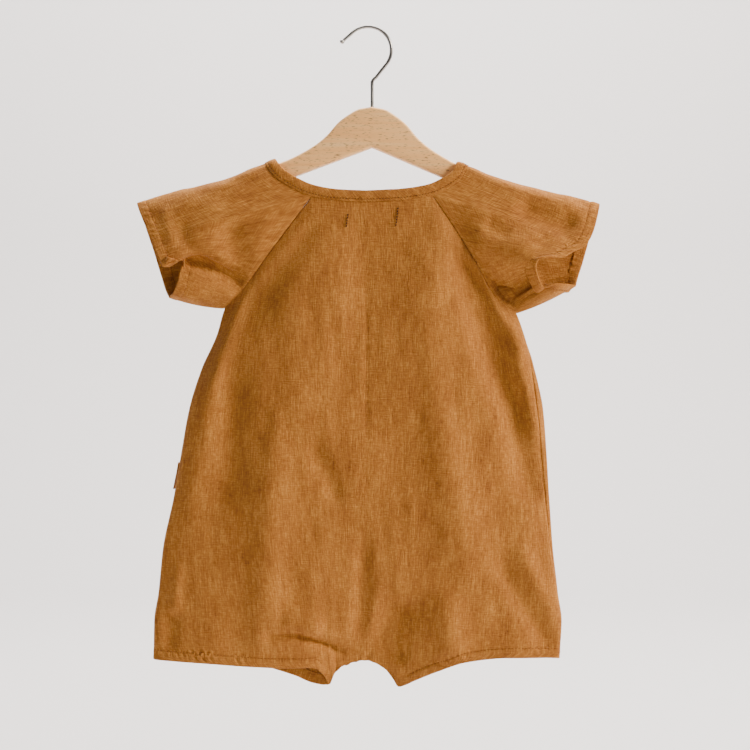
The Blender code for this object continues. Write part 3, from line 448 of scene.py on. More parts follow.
def drawn_in(edge, inner, distance):
    """An edge moved a distance in its surface, square to itself, towards the next row; and the way."""
    along = unit(np.gradient(edge, axis=0), 1e-12)
    way = inner - edge
    way = unit(way - (way * along).sum(-1, keepdims=True) * along, 1e-12)
    return edge + way * np.reshape(distance, (-1, 1)), way


def turned(edge, out, inward, profile):
    """Rows past an edge: each is the edge plus out and inward times the profile's two lengths."""
    return edge[None] + out[None] * profile[..., :1] + inward[None] * profile[..., 1:]


def seam_ends(share, depth):
    """How fully an upper edge turns in: hardly at the underarm or the neck, fully between them."""
    return 0.03 + 0.97 * np.tanh(np.abs(depth) / 0.005) ** 2 * smooth_step((1 - share) / 0.05)


def seam_profile(count, is_neck, reach):
    """Lengths outward and inward for the rows past an upper edge, one pair for each column.

    At a seam the wall turns in by a quarter circle and runs on inward, as far as reach says.
    Inside the neck binding it just runs on upward.
    """
    angle = np.array([0.35, 0.7, 1.0])[:, None] * pi / 2
    turn_out = np.concatenate([SEAM_FOLD * np.sin(angle), SEAM_FOLD * np.ones((2, 1))])
    run_in = SEAM_FOLD + np.array([[0.45], [1.0]]) * SEAM_ALLOWANCE
    turn_in = np.concatenate([SEAM_FOLD * (1 - np.cos(angle)), run_in])
    straight = np.linspace(0.0006, 0.0030, 5)[:, None]
    out = turn_out * (1 - is_neck) * reach + straight * is_neck
    inward = turn_in * (1 - is_neck) * reach
    return np.stack([out * np.ones(count), inward * np.ones(count)], -1)


def hem_profile(count, is_leg):
    """Lengths outward and inward for the rows past a lower edge, one pair for each column.

    At a leg or cuff the cloth turns up by a half circle and runs back inside for the hem's width.
    Along the crotch seam it only runs on by a hair.
    """
    angle = np.array([0.2, 0.4, 0.6, 0.8, 1.0])[:, None] * pi
    up = np.array([0.25, 0.5, 0.75, 0.93, 1.0])[:, None] * HEM_WIDTH
    fold_out = np.concatenate([HEM_FOLD * np.sin(angle), -up])
    fold_in = np.concatenate([HEM_FOLD * (1 - np.cos(angle)), 2 * HEM_FOLD + 0 * up])
    straight = np.linspace(0.00003, 0.0003, 10)[:, None]
    out = fold_out * is_leg + straight * (1 - is_leg)
    return np.stack([out * np.ones(count), fold_in * is_leg * np.ones(count)], -1)


def side_turned(grid, flip, reach):
    """Columns past a panel's last one, which turn in at the side seam and run on inside it.

    The edge is drawn in, then follows a quarter circle and a straight stretch along the inward
    normal, as long as reach says for each row.
    """
    edge, way = drawn_in(grid[:, -1], grid[:, -3], SEAM_CLEAR + SEAM_FOLD * reach)
    inward = -flip * normals(grid)[:, -2]
    profile = seam_profile(len(edge), 0.0, reach)[:5]
    past = turned(edge, -way, inward, profile).transpose(1, 0, 2)
    return np.concatenate([grid[:, :-1], edge[:, None], past], axis=1)


def upper_edge(grid, is_neck, reach):
    """An upper edge drawn in to clear what it is sewn to: the edge, the way there, how far."""
    clear = ((SEAM_CLEAR + SEAM_FOLD - SEAM_END) * reach + SEAM_END) * (1 - is_neck) + NECK_CLEAR * is_neck
    return *drawn_in(grid[0], grid[2], clear), clear


def sewn_panel(face, turn, v, seed, flip, laps):
    """A body panel's grid with its hems, gathers and turned edges.

    turn says where on the body each point of the panel lies, as in body.
    """
    grid = body(turn, v * np.ones_like(turn))
    u = turn if face < 0 else 2 - turn
    s = from_edge(grid)
    along = along_edge(grid[-1])[None, :] * np.ones_like(s)
    low = u[-1]
    past_left = smooth_step((low - LEFT_LEG_U + 0.016) / 0.012)
    is_leg = 1 - past_left * smooth_step((RIGHT_LEG_U + 0.016 - low) / 0.012)
    sides = smooth_step(low / 0.02) * smooth_step((1 - low) / 0.02)
    hem_x = grid[-1][:, 0]
    pull = sides * (0.35 + 0.65 * bump_at(hem_x, -0.128, 0.035) + 0.9 * bump_at(hem_x, 0.055, 0.035))
    lift = hem_relief(s, along, pull, seed + 3) * is_leg * sides
    lift = lift + crotch_relief(s, along, seed + 5) * (1 - is_leg)
    grid = grid + normals(grid) * (flip * lift)[..., None]
    if laps:
        square = flip * normals(grid)
        over = unit(square * v[..., None] ** 4 + np.array([0, 1, 0]) * (1 - v[..., None] ** 4))
        grid = grid + over * (lapped(grid[..., 0]) * (WALL_GAP + LAP_EXTRA * np.exp(-v / 0.05)))[..., None]
    share = raglan_share(u[0])
    is_neck = smooth_step((share - 0.998) / 0.02)
    reach = seam_ends(share, grid[0, :, 1])
    top, way, clear = upper_edge(grid, is_neck, reach)
    inward = np.array([0, -face, 0.0]) * np.ones_like(top)
    upper = turned(top, -way, inward, seam_profile(len(share), is_neck, reach))[::-1]
    below, low_way = drawn_in(grid[-1], grid[-3], np.zeros(len(low)))
    lower = turned(below, -low_way, inward, hem_profile(len(low), is_leg * sides))
    body_rows = grid.copy()
    body_rows[0] = top
    ease = clear[None, :] * np.array([0.75, 0.5, 0.25])[:, None]
    body_rows[1:4] += way[None] * ease[..., None]
    return np.concatenate([upper, body_rows, lower]), len(upper), len(lower)


THREAD_ROWS = 12  # rows above and below over which a thread's width is a mean


def cloth_map(grid, middle, offset):
    """The linen's threads: metres across from a middle column, and metres down.

    Widths are means over the rows around, because threads run straight through small folds.
    """
    across = np.linalg.norm(np.diff(grid, axis=1), axis=-1)
    first, last = across[:1].repeat(THREAD_ROWS, 0), across[-1:].repeat(THREAD_ROWS + 1, 0)
    around = np.concatenate([first, across, last])
    total = np.cumsum(around, axis=0)
    across = (total[2 * THREAD_ROWS + 1 :] - total[: -2 * THREAD_ROWS - 1]) / (2 * THREAD_ROWS + 1)
    across = np.concatenate([0 * across[:, :1], np.cumsum(across, axis=1)], axis=1)
    across = across - across[:, middle : middle + 1]
    return np.stack([across + offset, -grid[..., 2]], -1)


def placed(name, mesh, finish):
    """An object with this mesh, shaded smooth, in one material."""
    mesh.shade_smooth()
    mesh.materials.append(finish)
    made = bpy.data.objects.new(name, mesh)
    bpy.context.scene.collection.objects.link(made)
    return made


def cloth(name, grid, threads, finish, thickness=PLY, closed=False):
    """A wall of cloth on a grid of points, with its threads as its UV map."""
    rows, columns = grid.shape[:2]
    index = np.arange(rows * columns).reshape(rows, columns)
    if closed:
        index = np.concatenate([index, index[:, :1]], axis=1)
    spots = np.arange(index.size).reshape(index.shape)
    quads, corners = (
        np.stack([k[:-1, :-1], k[:-1, 1:], k[1:, 1:], k[1:, :-1]], -1).reshape(-1, 4) for k in (index, spots)
    )
    mesh = bpy.data.meshes.new(name)
    mesh.from_pydata(grid.reshape(-1, 3).tolist(), [], quads.tolist())
    layer = mesh.uv_layers.new(name="UVMap")
    layer.data.foreach_set("uv", threads.reshape(-1, 2)[corners.ravel()].ravel())
    made = placed(name, mesh, finish)
    wall = made.modifiers.new("Ply", "SOLIDIFY")
    wall.thickness = thickness
    wall.offset = 0
    return made


def linear(shade):
    """An sRGB hex colour as linear light, by the sRGB curve."""
    value = np.array([int(shade[i : i + 2], 16) for i in (1, 3, 5)]) / 255
    value = np.where(value <= 0.04045, value / 12.92, ((value + 0.055) / 1.055) ** 2.4)
    return (*value.tolist(), 1.0)


def new_finish(name, inputs):
    """A new material with some inputs of its shader set; returns it and the shader."""
    finish = bpy.data.materials.new(name)
    finish.use_nodes = True
    shader = finish.node_tree.nodes["Principled BSDF"]
    for key, value in inputs.items():
        shader.inputs[key].default_value = value
    return finish, shader


def add(finish, kind, inputs=None, **settings):
    """Adds a node to a material, with its settings, and numbers or other nodes' outputs as inputs."""
    made = finish.node_tree.nodes.new(kind)
    for name, value in settings.items():
        setattr(made, name, value)
    for name, value in (inputs or {}).items():
        if isinstance(value, bpy.types.NodeSocket):
            finish.node_tree.links.new(value, made.inputs[name])
        else:
            made.inputs[name].default_value = value
    return made


def streaks(finish, place, fineness):
    """Noise less 0.5, in its own place and scale: a mapping's inputs, then a noise node's."""
    spot = add(finish, "ShaderNodeMapping", place).outputs["Vector"]
    noise = add(finish, "ShaderNodeTexNoise", {"Vector": spot, "Scale": 1.0, **fineness}).outputs["Fac"]
    return add(finish, "ShaderNodeMath", {0: noise, 1: 0.5}, operation="SUBTRACT").outputs[0]


def plus(finish, base, amount, value):
    """base + amount x value."""
    return add(finish, "ShaderNodeMath", {0: value, 1: amount, 2: base}, operation="MULTIPLY_ADD").outputs[0]


def blend_tones(finish, factor, tones):
    """A ramp through hex colours at given places."""
    ramp = add(finish, "ShaderNodeValToRGB", {"Fac": factor})
    stops = ramp.color_ramp.elements
    while len(stops) < len(tones):
        stops.new(0.5)
    for stop, (place, shade) in zip(stops, tones):
        stop.position = place
        stop.color = linear(shade)
    return ramp.outputs["Color"]


# Washed linen, plain weave of uneven flax yarn, garment dyed: matt, mottled, with long slubs down
# the warp and shorter ones across. The real threads are 0.6 mm apart, and the finest pattern here
# is 0.9 mm, so that it shows. Sizes are those of one streak; tone and height say how much it counts.
YARNS = tabled(
    "across along tone height",
    (0.0011, 0.0200, 0.46, 0.50),
    (0.0009, 0.0048, 0.46, 0.85),
    (0.0130, 0.0010, 0.27, 0.35),
    (0.0042, 0.0009, 0.38, 0.75),
    (0.0055, 0.0200, 0.24, 0.0),
    (0.0260, 0.0420, 0.26, 0.0),
)
LINEN_TONES = ((0.22, "#723C13"), (0.50, "#A46727"), (0.78, "#D19041"))


def linen_finish():
    """Washed linen: each row of YARNS is stretched noise that shifts the tone and lifts the bump."""
    sheen = {"Sheen Weight": 0.18, "Sheen Roughness": 0.45, "Sheen Tint": linear("#F0C88E")}
    finish, shader = new_finish("washed linen", {"Roughness": 0.88, "Specular IOR Level": 0.25, **sheen})
    threads = add(finish, "ShaderNodeUVMap", uv_map="UVMap").outputs["UV"]
    tone, height = 0.5, 0.0
    for number, yarn in enumerate(YARNS):
        scale = (1 / yarn.across, 1 / yarn.along, 1)
        place = {"Vector": threads, "Scale": scale, "Location": (number * 7, 0, number)}
        streak = streaks(finish, place, {"Detail": 2.0, "Roughness": 0.55})
        tone = plus(finish, tone, yarn.tone, streak)
        if yarn.height:
            height = plus(finish, height, yarn.height, streak)
    colour = blend_tones(finish, tone, LINEN_TONES)
    relief = add(finish, "ShaderNodeBump", {"Strength": 0.8, "Distance": 0.0006, "Height": height})
    finish.node_tree.links.new(colour, shader.inputs["Base Color"])
    finish.node_tree.links.new(relief.outputs["Normal"], shader.inputs["Normal"])
    return finish


linen = linen_finish()


def thread_finish(name, shade):
    """Spun polyester sewing thread: a slight gloss, one even colour with darker turns."""
    finish, shader = new_finish(name, {"Roughness": 0.75, "Specular IOR Level": 0.2})
    spot = add(finish, "ShaderNodeTexCoord").outputs["Object"]
    noise = add(finish, "ShaderNodeTexNoise", {"Vector": spot, "Scale": 900.0}).outputs["Fac"]
    colour = blend_tones(finish, noise, ((0.3, shade[0]), (0.7, shade[1])))
    finish.node_tree.links.new(colour, shader.inputs["Base Color"])
    return finish


ochre_thread = thread_finish("ochre sewing thread", ("#6E3D12", "#8E5622"))
# Dark brown thread for the label tacks and the buttons. On the neck binding its dark line is also painted
# shade, standing in for the shade under the binding's lower edge.
brown_thread_and_painted_shade = thread_finish("brown thread and painted shade line", ("#241003", "#45210A"))


def at_distance(grid, distance):
    """The point of every column that lies a distance up from its end, by straight interpolation."""
    s = from_edge(grid)
    row = (s > distance).sum(0) - 1
    row = np.clip(row, 0, len(grid) - 2)
    pick = np.arange(grid.shape[1])
    share = (s[row, pick] - distance) / (s[row, pick] - s[row + 1, pick] + 1e-12)
    return grid[row, pick] * (1 - share)[:, None] + grid[row + 1, pick] * share[:, None], row


def stitches(name, runs, finish, pitch=0.0029, length=0.0022, width=0.00050):
    """Topstitching: along each run of points a stitch every pitch, as a spindle on the cloth.

    A spindle is two tips and two rings of four corners between them, all for one run at once.
    """
    all_points, all_faces, count = [], [], 0
    for points, lift in runs:
        distance = along_edge(points)
        starts = np.arange((pitch - length) / 2, distance[-1] - length, pitch)
        start, end, up = (
            np.stack([np.interp(starts + past, distance, line[:, c]) for c in range(3)], -1)
            for past, line in ((0, points), (length, points), (length / 2, lift))
        )
        up = unit(up)
        run = end - start
        aside = unit(np.cross(run, up))
        base = start + up * (PLY / 2 + 0.00006)
        rings = [base[:, None], base[:, None] + run[:, None]]
        square = [(1, 0), (0, 1), (-1, 0), (0, -1)]
        for share in (0.2, 0.8):
            centre = base + run * share
            ring = [centre + (aside * a + up * b) * width / 2 + up * width * 0.3 for a, b in square]
            rings.insert(-1, np.stack(ring, 1))
        points_here = np.concatenate(rings, axis=1)
        tips = [(0, 1 + (k + 1) % 4, 1 + k) for k in range(4)] + [(9, 5 + k, 5 + (k + 1) % 4) for k in range(4)]
        sides = [(1 + k, 1 + (k + 1) % 4, 5 + (k + 1) % 4, 5 + k) for k in range(4)]
        offset = count + 10 * np.arange(len(starts))[:, None, None]
        all_faces += (np.array(tips)[None] + offset).reshape(-1, 3).tolist()
        all_faces += (np.array(sides)[None] + offset).reshape(-1, 4).tolist()
        all_points.append(points_here.reshape(-1, 3))
        count += 10 * len(starts)
    mesh = bpy.data.meshes.new(name)
    mesh.from_pydata(np.concatenate(all_points).tolist(), [], all_faces)
    made = placed(name, mesh, finish)
    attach(made, "root")


def columns_across(start, end, count):
    """Columns of a panel between two u: the mean of even steps in u and even steps in width."""
    even = np.linspace(start, end, count)
    width = np.linspace((1 - cos(pi * start)) / 2, (1 - cos(pi * end)) / 2, count)
    return (even + np.arccos(1 - 2 * width) / pi) / 2


def rolled(turn, v):
    """The columns close to the right side moved so that the last one follows the rolled seam."""
    start = 1 - ROLL_SPAN
    return np.where(turn > start, start + (turn - start) * (seam_turn(v) - start) / ROLL_SPAN, turn)


BODY_ROWS = np.concatenate([np.linspace(0, 0.966, 142), np.linspace(0.966, 1, 25)[1:]])[:, None]

back_columns = columns_across(0, 1, 236)
back_turn = rolled(back_columns[None, :] * np.ones_like(BODY_ROWS), BODY_ROWS)
back_grid, back_upper, back_lower = sewn_panel(-1, back_turn, BODY_ROWS, BACK_SEED, flip=-1, laps=False)


def side_reach(upper, lower):
    """How far a side's seam allowance reaches at each row: nothing close to the underarm and the hem."""
    v = np.concatenate([np.zeros(upper), BODY_ROWS[:, 0], np.ones(lower)])
    return smooth_step((v - 0.01) / 0.08) * smooth_step((0.985 - v) / 0.03)


back_reach = side_reach(back_upper, back_lower)
back_grid = side_turned(back_grid, -1, back_reach)
back_grid = side_turned(back_grid[:, ::-1], 1, back_reach)[:, ::-1]
back_threads = cloth_map(back_grid, 123, 0.0)
back_cloth = cloth("back_cloth", back_grid, back_threads, linen)
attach(back_cloth, "root")
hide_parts("back_panel")


def hem_runs(grid, upper, lower, flip, low_u):
    """The lines of topstitching above a body panel's leg hems, with the direction out of the cloth."""
    first = 5 if flip < 0 and low_u[0] < low_u[-1] else 0
    body_grid = grid[upper : len(grid) - lower, first : first + len(low_u)]
    points, row = at_distance(body_grid, HEM_STITCH)
    out = flip * normals(body_grid)[row, np.arange(len(row))]
    runs = []
    for chosen in (low_u < LEFT_LEG_U - 0.004, low_u > RIGHT_LEG_U + 0.004):
        if chosen.sum() > 8:
            runs.append((points[chosen][2:-2], out[chosen][2:-2]))
    return runs


stitches("back_hem_stitching", hem_runs(back_grid, back_upper, back_lower, -1, back_turn[-1]), ochre_thread)

# Two short vertical lines of brown thread below the neck, which hold a label inside.
TACKS = tabled(
    "x0 z0 x1 z1",
    (-0.0168, -0.1585, -0.0184, -0.1704),
    (0.0255, -0.1530, 0.0233, -0.1714),
)
TACK_LIFT = 0.0003
TACK_POINTS = 24
tack_runs = []
for tack in TACKS:
    line_x = np.linspace(tack.x0, tack.x1, TACK_POINTS)
    line_z = np.linspace(tack.z0, tack.z1, TACK_POINTS)
    away = (back_grid[..., 0][..., None] - line_x) ** 2 + (back_grid[..., 2][..., None] - line_z) ** 2
    nearest = away.reshape(-1, TACK_POINTS).argmin(0)
    line_y = back_grid[..., 1].reshape(-1)[nearest] - TACK_LIFT
    tack_runs.append((np.stack([line_x, line_y, line_z], -1), np.tile([0.0, -1.0, 0.0], (TACK_POINTS, 1))))
stitches("label_tacks", tack_runs, brown_thread_and_painted_shade, pitch=0.0024, length=0.0021, width=0.0010)

# ---- fronts ----------------------------------------------------------------------------------
# Two pieces of the same linen that lap along a turned button stand. The left one lies on top, and
# both are topstitched down the stand and round the leg hems.
OVERLAP = 0.010  # half width of the button stand
LAP_EXTRA = 0.0008  # more lift close to the neck, where the left front lies over the binding



def lapped(x):
    """How far the left front and the left half of the binding are lifted over the right: 0 to 1."""
    return smooth_step((x - CENTRE_X + 0.030) / 0.016)


def share_across(v, x):
    """The u at which the front crosses a vertical line, for each row v, read from its x."""
    u = np.linspace(0.40, 0.62, 221)[None, :]
    lines = panel(1, u * np.ones_like(v), v * np.ones_like(u), FRONT_FOLDS, FRONT_SEED)[..., 0]
    return np.array([np.interp(x, line, u[0]) for line in lines])[:, None]


front_rows = {}
for side, name, flip in ((-1, "front_left", -1), (1, "front_right", 1)):
    edge = share_across(BODY_ROWS, CENTRE_X - side * OVERLAP)
    start, end, stop = (0.52, 0.0, 0.40) if side < 0 else (0.49, 1.0, 0.61)
    nominal = columns_across(start, end, 138)[None, :]
    near_edge = np.clip((nominal - stop) / (start - stop), 0, 1)
    turn = 2 - nominal - (edge - start) * near_edge
    if side > 0:
        roll_start = 1 + ROLL_SPAN
        wrapped = roll_start + (turn - roll_start) * (roll_start - seam_turn(BODY_ROWS)) / ROLL_SPAN
        turn = np.where(turn < roll_start, wrapped, turn)
    grid, upper, lower = sewn_panel(1, turn, BODY_ROWS, FRONT_SEED, flip, laps=side < 0)
    grid = side_turned(grid, flip, side_reach(upper, lower))
    front_rows[name] = grid[upper : len(grid) - lower]
    front = cloth(name + "_cloth", grid, cloth_map(grid, 0, 0.9 + 0.4 * side), linen)
    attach(front, "root")
    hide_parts(name)
    area = 0.0596 if side < 0 else 0.0590
    stitches(name + "_hem_stitching", hem_runs(grid, upper, lower, flip, 2 - turn[-1]), ochre_thread)


def stand_line(rows, distance):
    """A line of topstitching down the left front's button stand, a distance in from its edge."""
    points = np.stack([[np.interp(distance, along_edge(row), row[:, c]) for c in range(3)] for row in rows])
    return points[2:-3], -normals(rows)[2:-3, 4]


stand_runs = [stand_line(front_rows["front_left"], distance) for distance in (0.0020, 0.0180)]
stitches("stand_stitching", stand_runs, ochre_thread)

# ---- sleeves ---------------------------------------------------------------------------------
# Short raglan sleeves, each a tube from the raglan and neck seams to a turned and topstitched
# hem. They stand open, and their lower edges have slumped into folds.
SLEEVE_BOW = 0.0030  # how far a sleeve's walls bow out half way along
SLEEVE_SAG = 0.0018  # how far its lowest line hangs below a straight one
SLEEVE_RUMPLE = 0.00060
SLEEVE_SMALL_RUMPLE = 0.00022
SLEEVE_COLUMNS = 250
SLEEVE_ROWS = np.concatenate([np.linspace(0, 0.88, 62), np.linspace(0.88, 1, 24)[1:]])[:, None]

# A sleeve's open edge. run says which lengthwise line ends there: 0 to 1 up the back raglan
# seam, 1 to 3 along the neck and over the shoulder (2), 3 to 4 down the front raglan seam. lift is
# how far that line arches up on its way.
CUFF_LEFT = tabled(
    "run x y z lift",
    (0.00, -0.1683, -0.0010, -0.2288, 0.000),
    (0.05, -0.1640, -0.0110, -0.2262, 0.000),
    (0.10, -0.1592, -0.0165, -0.2160, 0.000),
    (0.14, -0.1570, -0.0130, -0.2050, 0.000),
    (0.18, -0.1556, -0.0070, -0.1978, 0.000),
    (0.23, -0.1600, -0.0085, -0.1975, 0.006),
    (0.30, -0.1665, -0.0165, -0.2030, 0.010),
    (0.40, -0.1705, -0.0205, -0.2035, 0.009),
    (0.60, -0.1750, -0.0190, -0.1965, 0.005),
    (1.00, -0.1805, -0.0150, -0.1830, 0.002),
    (1.45, -0.1870, -0.0110, -0.1685, 0.000),
    (1.80, -0.1932, -0.0055, -0.1545, 0.000),
    (2.00, -0.1955, 0.0000, -0.1487, 0.000),
    (2.20, -0.1930, 0.0060, -0.1560, 0.000),
    (2.60, -0.1880, 0.0110, -0.1725, 0.000),
    (3.00, -0.1830, 0.0135, -0.1880, 0.000),
    (3.50, -0.1770, 0.0125, -0.2075, 0.000),
    (3.85, -0.1715, 0.0080, -0.2235, 0.000),
)
CUFF_RIGHT = tabled(
    "run x y z lift",
    (0.00, 0.1760, 0.0000, -0.2190, 0.000),
    (0.03, 0.1665, -0.0080, -0.2185, 0.000),
    (0.06, 0.1575, -0.0120, -0.2180, 0.000),
    (0.10, 0.1487, -0.0128, -0.2212, 0.000),
    (0.16, 0.1427, -0.0165, -0.2125, 0.000),
    (0.26, 0.1404, -0.0200, -0.2040, 0.000),
    (0.38, 0.1430, -0.0220, -0.1970, 0.000),
    (0.50, 0.1520, -0.0215, -0.1953, 0.000),
    (0.66, 0.1625, -0.0190, -0.1950, 0.000),
    (0.82, 0.1730, -0.0160, -0.1900, 0.000),
    (1.00, 0.1825, -0.0135, -0.1850, 0.000),
    (1.40, 0.1888, -0.0105, -0.1750, 0.000),
    (1.75, 0.1935, -0.0065, -0.1600, 0.000),
    (2.00, 0.1960, 0.0000, -0.1495, 0.000),
    (2.25, 0.1938, 0.0065, -0.1590, 0.000),
    (2.60, 0.1905, 0.0110, -0.1720, 0.000),
    (3.00, 0.1870, 0.0130, -0.1845, 0.000),
    (3.50, 0.1825, 0.0115, -0.2000, 0.000),
    (3.85, 0.1780, 0.0060, -0.2125, 0.000),
)

# How far the top of a sleeve lies below a straight line, from the neck (t = 0) to the cuff.
SHOULDERS = tabled(
    "t left right",
    (0.00, 0.0000, 0.0000),
    (0.16, 0.0018, 0.0012),
    (0.33, 0.0032, 0.0017),
    (0.50, 0.0016, 0.0015),
    (0.67, -0.0002, 0.0010),
    (1.00, 0.0000, 0.0000),
)
LEFT_SLEEVE_FOLDS = tabled(
    "x0 z0 x1 z1 width rise",
    (-0.118, -0.168, -0.108, -0.206, 0.011, -0.0034),
    (-0.084, -0.160, -0.096, -0.196, 0.008, 0.0008),
    (-0.130, -0.150, -0.136, -0.186, 0.014, 0.0012),
    (-0.158, -0.168, -0.150, -0.190, 0.006, -0.0014),
    (-0.172, -0.152, -0.165, -0.186, 0.005, 0.0010),
    (-0.148, -0.194, -0.104, -0.217, 0.006, -0.0048),
    (-0.150, -0.209, -0.112, -0.229, 0.008, 0.0020),
)
RIGHT_SLEEVE_FOLDS = tabled(
    "x0 z0 x1 z1 width rise",
    (0.128, -0.153, 0.174, -0.170, 0.010, -0.0052),
    (0.086, -0.150, 0.100, -0.186, 0.010, 0.0008),
    (0.088, -0.186, 0.140, -0.187, 0.014, 0.0032),
    (0.098, -0.228, 0.150, -0.217, 0.017, -0.0105),
    (0.100, -0.168, 0.118, -0.178, 0.007, -0.0014),
)


def sleeve_edge(side, run):
    """The sleeve's inner edge at a run (see Cuff): back raglan seam, neck seam, front raglan seam."""
    back = raglan(side, -1, np.clip(run, 0, 1))
    front = raglan(side, 1, np.clip(4 - run, 0, 1))
    row = NECK_BACK_ROW + (NECK_FRONT_ROW - NECK_BACK_ROW) * np.clip((run - 1) / 2, 0, 1)
    neck = neck_seam(side, row)[0]
    return np.select([run[..., None] < 1, run[..., None] <= 3], [back, neck], front)


def cuff_edge(table, run):
    """The open edge and its lines' lift, through the table's rows and back to its first."""
    rows = np.append(table.run, 4.0)
    names = ("x", "y", "z", "lift")
    return np.stack([through(rows, np.append(table[c], table[c][0]), run) for c in names], -1)


def sleeve_runs(side, table):
    """The lengthwise lines, spread evenly by the cuff's length and half the inner edge's.

    The lines next to the two neck corners are moved onto them.
    """
    dense = np.linspace(0, 4, 4001)
    length = along_edge(cuff_edge(table, dense)[:, :3]) + 0.5 * along_edge(sleeve_edge(side, dense))
    run = np.interp(np.linspace(0, length[-1], SLEEVE_COLUMNS + 1)[:-1], length, dense)
    for corner in (1.0, 3.0):
        run[np.abs(run - corner).argmin()] = corner
    return run


def sewn_sleeve(side, table, folds, seed):
    """A sleeve's grid: straight lines from inner edge to cuff, bowed out, dipped along the shoulder.

    Its folds, rumples and hem are moved out along its normals, and its edges are turned in.
    """
    run = sleeve_runs(side, table)[None, :]
    t = SLEEVE_ROWS
    cuff = cuff_edge(table, run)
    share = np.stack([t, t**1.5, t], -1)
    grid = (1 - share) * sleeve_edge(side, run) + share * cuff[..., :3]
    grid[..., 2] += cuff[..., 3] * np.sin(pi * t**1.8)
    bow = 4 * t * (1 - t)
    grid[..., 1] += SLEEVE_BOW * bow * np.tanh(grid[..., 1] / 0.004)
    dip = through(SHOULDERS.t, SHOULDERS["left" if side < 0 else "right"], t)
    grid[..., 2] -= dip * bump_at(run, 2, 0.6)
    grid[..., 2] -= SLEEVE_SAG * bow * bump_at(np.minimum(run, 4 - run), 0, 0.15)
    out = normals(grid, closed=True)
    behind = np.abs(run[0] - 0.9).argmin()
    out = out * -np.sign(out[len(t) // 2, behind, 1])
    along = along_edge(grid[-1])[None, :] * np.ones_like(t)
    ring = np.sin(pi * run / 4)
    free = smooth_step(t / 0.12) * smooth_step((1 - t) / 0.12)
    lift = folds_at(folds, grid[..., 0], grid[..., 2]) * free
    lift = lift * smooth_step(run / 0.12) * smooth_step((1.9 - run) / 0.3)
    mirrored = folds_at(folds, grid[..., 0] + 0.006, grid[..., 2] + 0.008)
    lift = lift + 0.8 * mirrored * free * smooth_step((run - 2.1) / 0.3) * smooth_step((4 - run) / 0.3)
    lift = lift + SLEEVE_RUMPLE * free * ring * rumples(along, grid[..., 0], 0.016, 0.026, seed)
    lift = lift + SLEEVE_SMALL_RUMPLE * free * ring * rumples(along, grid[..., 0], 0.007, 0.010, seed + 1)
    lift = lift + hem_relief(from_edge(grid), along, 0.30 + 0 * t, seed + 2)
    grid = grid + out * lift[..., None]
    f = np.minimum(np.where(run < 2, run, 4 - run)[0], 1)
    is_neck = smooth_step((f - 0.992) / 0.008)
    reach = seam_ends(f, grid[0, :, 1])
    top, way, clear = upper_edge(grid, is_neck, reach)
    inward = np.array([0, 1.0, 0]) * -np.sign(top[:, 1:2])
    upper = turned(top, -way, inward, seam_profile(len(f), is_neck, reach))[::-1]
    below, low_way = drawn_in(grid[-1], grid[-3], np.zeros(len(f)))
    lower = turned(below, -low_way, -out[-2], hem_profile(len(f), np.ones(len(f))))
    grid[0] = top
    ease = clear[None, :] * np.array([0.66, 0.33])[:, None]
    grid[1:3] += way[None] * ease[..., None]
    return np.concatenate([upper, grid, lower]), len(upper), len(lower), out, run[0]


SLEEVES = (
    ("sleeve_left", -1, CUFF_LEFT, LEFT_SLEEVE_FOLDS, 31, 0.0234),
    ("sleeve_right", 1, CUFF_RIGHT, RIGHT_SLEEVE_FOLDS, 41, 0.0226),
)
for name, side, table, folds, seed, area in SLEEVES:
    grid, upper, lower, out, run = sewn_sleeve(side, table, folds, seed)
    round_it = along_edge(np.concatenate([grid[-lower - 1], grid[-lower - 1, :1]]))
    down_it = np.concatenate([[0.0], np.cumsum(np.linalg.norm(np.diff(grid, axis=0), axis=-1).mean(1))])
    threads = np.stack(np.broadcast_arrays(round_it[None, :] + 2 + side, down_it[:, None]), -1)
    sleeve = cloth(name + "_cloth", grid, threads, linen, closed=True)
    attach(sleeve, "root")
    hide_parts(name)
    points, row = at_distance(grid[upper : len(grid) - lower], HEM_STITCH)
    stitches(name + "_hem_stitching", [(points, out[row, np.arange(len(row))])], ochre_thread)

# ---- neck binding ----------------------------------------------------------------------------
# A bias strip of the linen folded over the neck's edge, joined by a slanting seam at the back and
# lapped at the front. It is topstitched close to its lower edge in dark brown thread, whose dark line is partly
# painted shade for the shade under the binding's edge.
BAND_WIDTH = 0.0085
BAND_HALF = 0.00075  # from the binding's middle to the middle of each ply
BAND_PLY = 0.0005
BAND_LAP = 0.0024  # lift of the binding's left end over its right one
BAND_PUFF = 0.00050
BAND_GROOVE, BAND_STITCH = 0.00022, 0.0013  # the groove that its stitching draws, and where
BAND_UNEVEN = 0.00014
JOIN_GROOVE = 0.00045  # depth of the slanting seams where lengths of the strip are joined
BAND_COLUMNS = 640


def neck_round(way):
    """The seam and lean all round: 0 is the back's middle, -last and last meet at the front's.

    Past those it runs on along the other side, for the ends that lap.
    """
    last = len(NECK_LEFT) - 1
    beyond = np.abs(way) > last
    row = np.where(beyond, 2 * last - np.abs(way), np.abs(way))
    left, left_lean = neck_seam(-1, row)
    right, right_lean = neck_seam(1, row)
    is_left = ((way < 0) != beyond)[:, None]
    return np.where(is_left, left, right), np.where(is_left, left_lean, right_lean)


